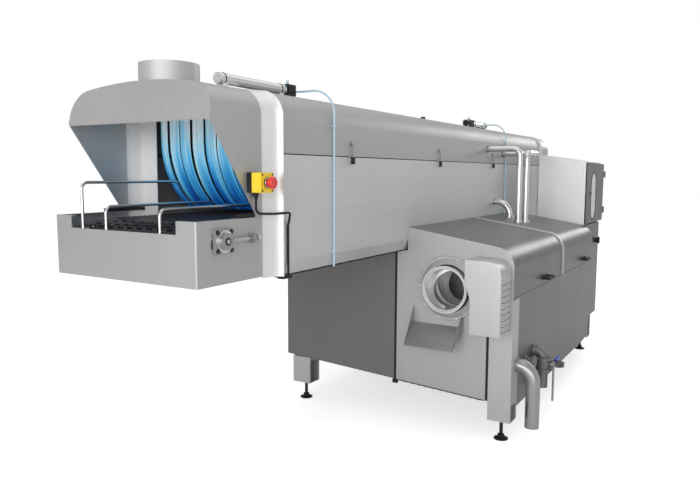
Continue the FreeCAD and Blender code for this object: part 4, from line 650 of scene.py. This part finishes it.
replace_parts(strip_mesh("infeed_strips", -1571.0), "infeed_curtain")
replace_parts(strip_mesh("outfeed_strips", 1423.0), "outfeed_curtain")

# %% [markdown]
# The take-up pulls the belt tight. Its plate is held by four dark bolts, a ring seals the
# shaft, and its screw runs through a lug to a hexagon head that a spanner turns. The other
# bearings have the same plate with no screw.

# %% Bearing rings, screw threads and bolts
trim = bmesh.new()
dark = bmesh.new()
bolts = []
for side in (-1, 1):
    for x in (-nose_x, nose_x):
        face_y = side * 346.3
        add_ring(trim, (x, side * 347.0, nose_z), (0, 1, 0), 31.0, 3.0)
        add_bar(trim, (x, side * 346.0, nose_z), (x, side * 349.6, nose_z), 36.0, sides=32)
        add_bar(dark, (x, side * 360.0, nose_z), (x, side * 361.2, nose_z), 13.0, sides=28)
        add_bar(trim, (x, side * 361.0, nose_z), (x, side * 362.6, nose_z), 7.0, sides=6)
        for dx in (-31.0, 31.0):
            for dz in (-29.0, 29.0):
                bolts.append((x + dx, face_y, nose_z + dz, (0, side, 0), 6.2))
screw_y, thread_pitch = 341.3, 5.5
for side in (-1, 1):
    y = side * screw_y
    for index in range(14):
        place = (-nose_x + 44 + index * thread_pitch, y, nose_z)
        add_ring(trim, place, (1, 0, 0), 6.0, 1.1, sides=20, around=6)
    end = -nose_x + 174
    add_bar(trim, (end - 16, y, nose_z), (end - 2, y, nose_z), 11.5, sides=6)
    add_bar(dark, (end - 40, y, nose_z), (end - 32, y, nose_z), 11.0, sides=6)
finish_piece("bearing_trim", trim, steel_bright)
finish_piece("bearing_seals", dark, steel_dark)
set_bolts("bearing_bolts", bolts, steel_dark)

# %% [markdown]
# Three catches on each side hold the tunnel roof down. Each has a small keeper screwed to
# the roof, a bent wire loop and a black lever below the seam, so it reads as two dark marks
# with a thin bright line between them.

# %% Seam catches
keepers = bmesh.new()
levers = bmesh.new()
bolts = []
wall_y, loop_low, loop_high = 350.3, 1268, 1316
for side in (-1, 1):
    wall = side * wall_y
    loop_y = wall + side * 6
    for x in (-1121.0, -253.0, 555.0):
        near, far = sorted((wall, wall + side * 3))
        add_block(keepers, (x - 6, near, 1310), (x + 6, far, 1328))
        for dx in (-5.0, 5.0):
            add_bar(keepers, (x + dx, loop_y, loop_low), (x + dx, loop_y, loop_high), 1.0, sides=10)
        add_bar(keepers, (x - 5.8, loop_y, loop_high), (x + 5.8, loop_y, loop_high), 1.0, sides=10)
        near, far = sorted((loop_y, wall + side * 15))
        add_block(levers, (x - 9, near, 1238), (x + 9, far, 1264))
        hinge_y = wall + side * 9
        add_bar(levers, (x - 12, hinge_y, 1262), (x + 12, hinge_y, 1262), 5.0, sides=18)
        bolts.append((x, wall + side * 3, 1322, (0, side, 0), 3.2))
finish_piece("catch_keepers", keepers, steel_tank, bevel=0.5)
finish_piece("catch_levers", levers, black_plastic, bevel=1.2)
set_bolts("catch_screws", bolts, steel_bright)

# %% [markdown]
# The two air cylinders open flaps inside the tunnel. A real one is a round barrel between
# two end caps, with tie rods, a clamp at each foot and push-in fittings for the hoses.

# %% Air cylinder details
bright = bmesh.new()
black = bmesh.new()
fitting = bmesh.new()
bolts = []
axis_y, axis_z = -176.0, 1518.0
# Both ends of each barrel, both ends of its block, and the way the block's bolts look
cylinders = (
    (-1703.0, -1337.0, -1336.7, -1281.7, 1),
    (640.0, 888.0, 549.7, 639.7, -1),
)
for x0, x1, block_low, block_high, away in cylinders:
    for x in (x0 + 3, x1 - 3):
        add_ring(bright, (x, axis_y, axis_z), (1, 0, 0), 18.6, 1.6, sides=36, around=6)
    for x in (x0 + 26, x1 - 26):
        add_ring(black, (x, axis_y, axis_z), (1, 0, 0), 19.4, 1.8, sides=36, around=6)
        for side in (-1, 1):
            bolts.append((x, axis_y + side * 14.2, axis_z - 22, (0, side, 0), 4.0))
    block_end = block_high if away > 0 else block_low
    for dy in (-15.0, 15.0):
        for dz in (-15.0, 15.0):
            bolts.append((block_end, axis_y + dy, axis_z + dz, (away, 0, 0), 3.4))
    middle = (block_low + block_high) / 2
    add_bar(fitting, (middle, axis_y, axis_z + 21), (middle, axis_y, axis_z + 31), 6.5, sides=6)
    add_bar(fitting, (middle, axis_y, axis_z + 31), (middle, axis_y, axis_z + 38), 5.0, sides=18)
    add_block(black, (middle - 20, axis_y - 24, axis_z - 9), (middle + 20, axis_y - 21, axis_z + 9))
add_bar(fitting, (-1281.4, axis_y, axis_z), (-1270.0, axis_y, axis_z), 7.0, sides=6)
add_bar(fitting, (-1270.0, axis_y, axis_z), (-1262.0, axis_y, axis_z), 6.0, sides=20)
add_bar(fitting, (796.0, -195.4, axis_z), (796.0, -207.0, axis_z), 7.0, sides=6)
add_bar(fitting, (796.0, -207.0, axis_z), (796.0, -214.0, axis_z), 6.0, sides=20)
finish_piece("cylinder_rings", bright, steel_bright)
finish_piece("cylinder_clamps", black, black_plastic, bevel=0.5)
finish_piece("hose_fittings", fitting, hose_plastic)
set_bolts("cylinder_bolts", bolts, steel_bright)

# %% [markdown]
# Hose clips keep the two air hoses against the wall. The stop box gets the parts that make
# such a box real: a collar round the red head, four lid screws and a gland where the cable
# leaves. A black entry holds the cable's other end under the wall.

# %% Hose clips and stop box details
clips = bmesh.new()
for x, heights in ((-1253.1, (1380.0, 1180.0, 1020.0, 900.0)), (796.0, (1380.0, 1180.0, 1030.0))):
    for z in heights:
        add_block(clips, (x - 9, -359.6, z - 5), (x + 9, -350.3, z + 5))
finish_piece("hose_clips", clips, hose_plastic, bevel=1.0)

gland = bmesh.new()
collar = bmesh.new()
bolts = []
box_x, box_z, lid_face = -1706.5, 1170.0, -388.3
add_bar(gland, (box_x, -340.3, box_z - 33), (box_x, -340.3, box_z - 44), 9.0, sides=8)
add_bar(gland, (box_x, -340.3, box_z - 44), (box_x, -340.3, box_z - 54), 7.5, tip=5.5, sides=20)
add_bar(gland, (box_x, lid_face, box_z), (box_x, lid_face - 3.2, box_z), 17.0, sides=36)
add_ring(collar, (box_x, lid_face - 3.4, box_z), (0, 1, 0), 14.2, 1.6, sides=36)
for dx in (-26.0, 26.0):
    for dz in (-26.0, 26.0):
        bolts.append((box_x + dx, lid_face, box_z + dz, (0, -1, 0), 2.8))
finish_piece("stop_gland", gland, black_plastic)
finish_piece("stop_collar", collar, steel_bright)
set_bolts("stop_screws", bolts, steel_dark)
entry = bmesh.new()
add_block(entry, (-1584.0, -359.0, 834.0), (-1532.0, -330.0, 845.6))
finish_piece("cable_entry", entry, black_plastic, bevel=2.0)

# %% [markdown]
# The strap between the two tank covers is a brighter strip of steel than they are. The CAD
# has it as its own solid inside the covers' node, so the piece is a copy of that solid's
# faces, moved out by a quarter of a millimetre along their normals.

# %% Strap over the cover joint
def skin_of(node, low_x, high_x, grow):
    """A copy of the solids of a node that lie between two lengths, grown a little."""
    mesh = bmesh.new()
    mesh.from_mesh(nodes[node].data)
    bmesh.ops.remove_doubles(mesh, verts=mesh.verts, dist=1e-6)
    low, high = at(low_x, 0, 0).x, at(high_x, 0, 0).x
    unseen, away = set(mesh.verts), []
    while unseen:
        group, edge = [], [unseen.pop()]
        while edge:
            vert = edge.pop()
            group.append(vert)
            for link in vert.link_edges:
                other = link.other_vert(vert)
                if other in unseen:
                    unseen.discard(other)
                    edge.append(other)
        if min(v.co.x for v in group) < low or max(v.co.x for v in group) > high:
            away += group
    bmesh.ops.delete(mesh, geom=away, context="VERTS")
    mesh.normal_update()
    moves = [(vert, vert.normal * grow / 1000) for vert in mesh.verts]
    for vert, move in moves:
        vert.co += move
    return mesh


finish_piece("strap_face", skin_of("tank_covers", 236.0, 270.0, 0.25), steel_leg)

# %% [markdown]
# Pressed louvres cool the motor beside the drum. The CAD has the raised blades, and under
# each blade a dark block is painted shade in the slot that the air comes through.

# %% Painted shade in the louvre slots
slot_shade = bmesh.new()
first_blade, blade_step = 530.0, 26.0
for index in range(9):
    low = first_blade + blade_step * index
    add_block(slot_shade, (-718.0, -860.6, low - 3.4), (-624.0, -855.6, low - 0.2))
finish_piece("louvre_slots", slot_shade, steel_dark)

# %% [markdown]
# A thin black strip runs under the tank's front plate, with a small black block where the
# upright seal ends. The covers have black pulls, each held by two bolts through a washer.

# %% Tank front strip and cover bolts
bottom_strip = bmesh.new()
edge_near, edge_far, count = -744.0, -300.0, 12
for index in range(count):
    y0 = edge_near + index * (edge_far - edge_near) / count
    y1 = y0 + (edge_far - edge_near) / count
    low = 241.0 - 0.055 * (357.0 - (y0 + y1) / 2)
    add_block(bottom_strip, (-600.4, y0, low - 3.6), (-594.5, y1 + 0.2, low - 0.2))
add_block(bottom_strip, (-601.0, -303.0, 186.0), (-590.0, -277.0, 203.0))
finish_piece("front_edging", bottom_strip, black_rubber)
pulls = bmesh.new()
bolts = []
for x in (-86.0, 776.0):
    for dx in (-41.0, 41.0):
        add_bar(pulls, (x + dx, -866.2, 690.0), (x + dx, -869.6, 690.0), 12.0, tip=9.0, sides=24)
        bolts.append((x + dx, -900.4, 690.0, (0, -1, 0), 4.0))
finish_piece("pull_washers", pulls, black_plastic)
set_bolts("pull_bolts", bolts, steel_dark)

# %% [markdown]
# A gate of bolts holds each valve flange, and the pipes that enter a wall do so through a
# flat rosette.

# %% Valve bolts and rosettes
bolts = []
valve_y, valve_z = -910.3, 290.0
for index in range(6):
    angle = math.pi * (index + 0.5) / 3
    dx, dy = 35.5 * math.cos(angle), 35.5 * math.sin(angle)
    bolts.append((-240 + dx, valve_y + dy, valve_z + 32, (0, 0, 1), 4.2))
    bolts.append((-240 + dx, valve_y + dy, valve_z - 32, (0, 0, -1), 4.2))
set_bolts("valve_bolts", bolts, steel_pipe)
rosettes = bmesh.new()
for x, z, radius in ((468.0, 1350.0, 17.0), (755.0, 1330.0, 17.0), (615.0, 1030.0, 18.0)):
    add_ring(rosettes, (x, -352.0, z), (0, 1, 0), radius + 4.0, 1.7, sides=36)
side_pipes = (
    (-516.0, 345.0, 31.75), (-240.0, 352.0, 24.0), (-385.0, 330.0, 23.0), (40.0, 218.0, 12.0),
)
for x, z, radius in side_pipes:
    add_ring(rosettes, (x, -868.4, z), (0, 1, 0), radius + 2.2, 2.0, sides=36)
add_ring(rosettes, (-385.0, -906.0, 330.0), (0, 1, 0), 27.0, 2.4, sides=40)
finish_piece("pipe_rosettes", rosettes, steel_pipe)

# %% [markdown]
# The cabinet door has a black gasket round its tall window. It is a swept ring of a small
# square section, which rides with the door.

# %% Door gasket
def slot_ring(mesh, x_mid, y0, y1, low, high, radius, thick, steps=16):
    """A closed band round a tall slot with round ends."""
    line = []
    for step in range(steps + 1):
        angle = math.pi * step / steps
        line.append((math.cos(angle), math.sin(angle), 1))
    for step in range(steps + 1):
        angle = math.pi + math.pi * step / steps
        line.append((math.cos(angle), math.sin(angle), -1))
    rows = []
    for dx, dz, end in line:
        middle = high - radius if end > 0 else low + radius
        row = []
        for size, y in ((radius, y0), (radius + thick, y0), (radius + thick, y1), (radius, y1)):
            row.append(mesh.verts.new(at(x_mid + dx * size, y, middle + dz * size)))
        rows.append(row)
    for first, second in zip(rows, rows[1:] + rows[:1]):
        for j in range(4):
            k = (j + 1) % 4
            mesh.faces.new((first[j], second[j], second[k], first[k]))


gasket = bmesh.new()
door_x0, door_face = 1026.3, -834.5
slot_ring(gasket, door_x0 + 130.0, door_face - 1.6, door_face + 1.0, 912.0, 1212.0, 70.0, 7.0)
finish_piece("window_gasket", gasket, black_rubber, body="door")

# %% [markdown]
# Small bolts hold the drum's collar to the front plate. The ones that the motor cover hides
# are left out.

# %% Collar bolts
bolts = []
for index in range(10):
    angle = 2 * math.pi * (index + 0.5) / 10
    dy, dz = 143.0 * math.sin(angle), 143.0 * math.cos(angle)
    if -560.0 + dy > -690.0:
        bolts.append((-603.8, -560.0 + dy, 678.0 + dz, (-1, 0, 0), 3.6))
set_bolts("collar_bolts", bolts, steel_bright)

# %% [markdown]
# The machine stands on a plain pale floor in a white studio. The floor is lit like the
# machine, so it keeps the soft shadow under the tanks, and it adds a little light of its
# own for the camera and for reflections, which brings it near to white.

# %% Floor and sky
bpy.ops.mesh.primitive_plane_add(size=60.0, location=(0.0, 0.0, 0.0))
floor = bpy.context.object
floor.name = "floor"
floor_material, start = new_material("floor")
seen = start.add("ShaderNodeLightPath", out="Is Camera Ray")
mirrored = start.add("ShaderNodeLightPath", out="Is Glossy Ray")
through = start.add("ShaderNodeLightPath", out="Is Transmission Ray")
lit = start.add("ShaderNodeBsdfDiffuse", {"Color": rgb(0.80)})
glow = start.add("ShaderNodeEmission", {
    "Color": rgb(1.0), "Strength": seen * 0.62 + mirrored * 0.10 + through * 0.62,
})
both = start.add("ShaderNodeAddShader", {0: lit, 1: glow})
start.add("ShaderNodeOutputMaterial", {"Surface": both})
floor.data.materials.append(floor_material)

world = bpy.data.worlds.new("studio")
bpy.context.scene.world = world
world.use_nodes = True
world.node_tree.nodes.clear()
sky = Wire(world.node_tree)
seen = sky.add("ShaderNodeLightPath", out="Is Camera Ray")
strength = seen * 0.48 + 0.52
air = sky.add("ShaderNodeBackground", {"Color": rgb(1.0), "Strength": strength})
sky.add("ShaderNodeOutputWorld", {"Surface": air})
bpy.context.scene.view_settings.view_transform = "Standard"

# %% [markdown]
# Steel shows whatever is around it, so large soft lamps matter more than strong ones.
# The main one stands over the infeed end and gives the bright front faces. A second one
# is above the plant for the roof, and a weak one fills the long side. The lamp beyond the
# far end draws the bright line along the covers' rounded shoulder, and the last one looks
# into the hood.

# %% Lamps
def soft_lamp(name, place, target, size, power):
    data = bpy.data.lights.new(name, "AREA")
    data.shape = "RECTANGLE"
    data.size, data.size_y = size
    data.energy = power
    lamp = bpy.data.objects.new(name, data)
    lamp.location = place
    lamp.rotation_mode = "QUATERNION"
    lamp.rotation_quaternion = (Vector(target) - Vector(place)).to_track_quat("-Z", "Y")
    bpy.context.scene.collection.objects.link(lamp)


soft_lamp("front_lamp", at(-6900, -4300, 2100), at(-900, -200, 900), (5.0, 3.6), 125)
soft_lamp("top_lamp", at(0, -400, 4600), at(0, 0, 900), (7.0, 4.0), 50)
soft_lamp("side_lamp", at(2500, -6400, 2400), at(300, -400, 700), (6.0, 3.0), 14)
soft_lamp("far_lamp", at(8200, -1700, 3300), at(300, -500, 900), (3.0, 2.0), 75)
soft_lamp("mouth_lamp", at(-5200, -300, 1500), at(-1700, 0, 1150), (2.6, 1.6), 52)
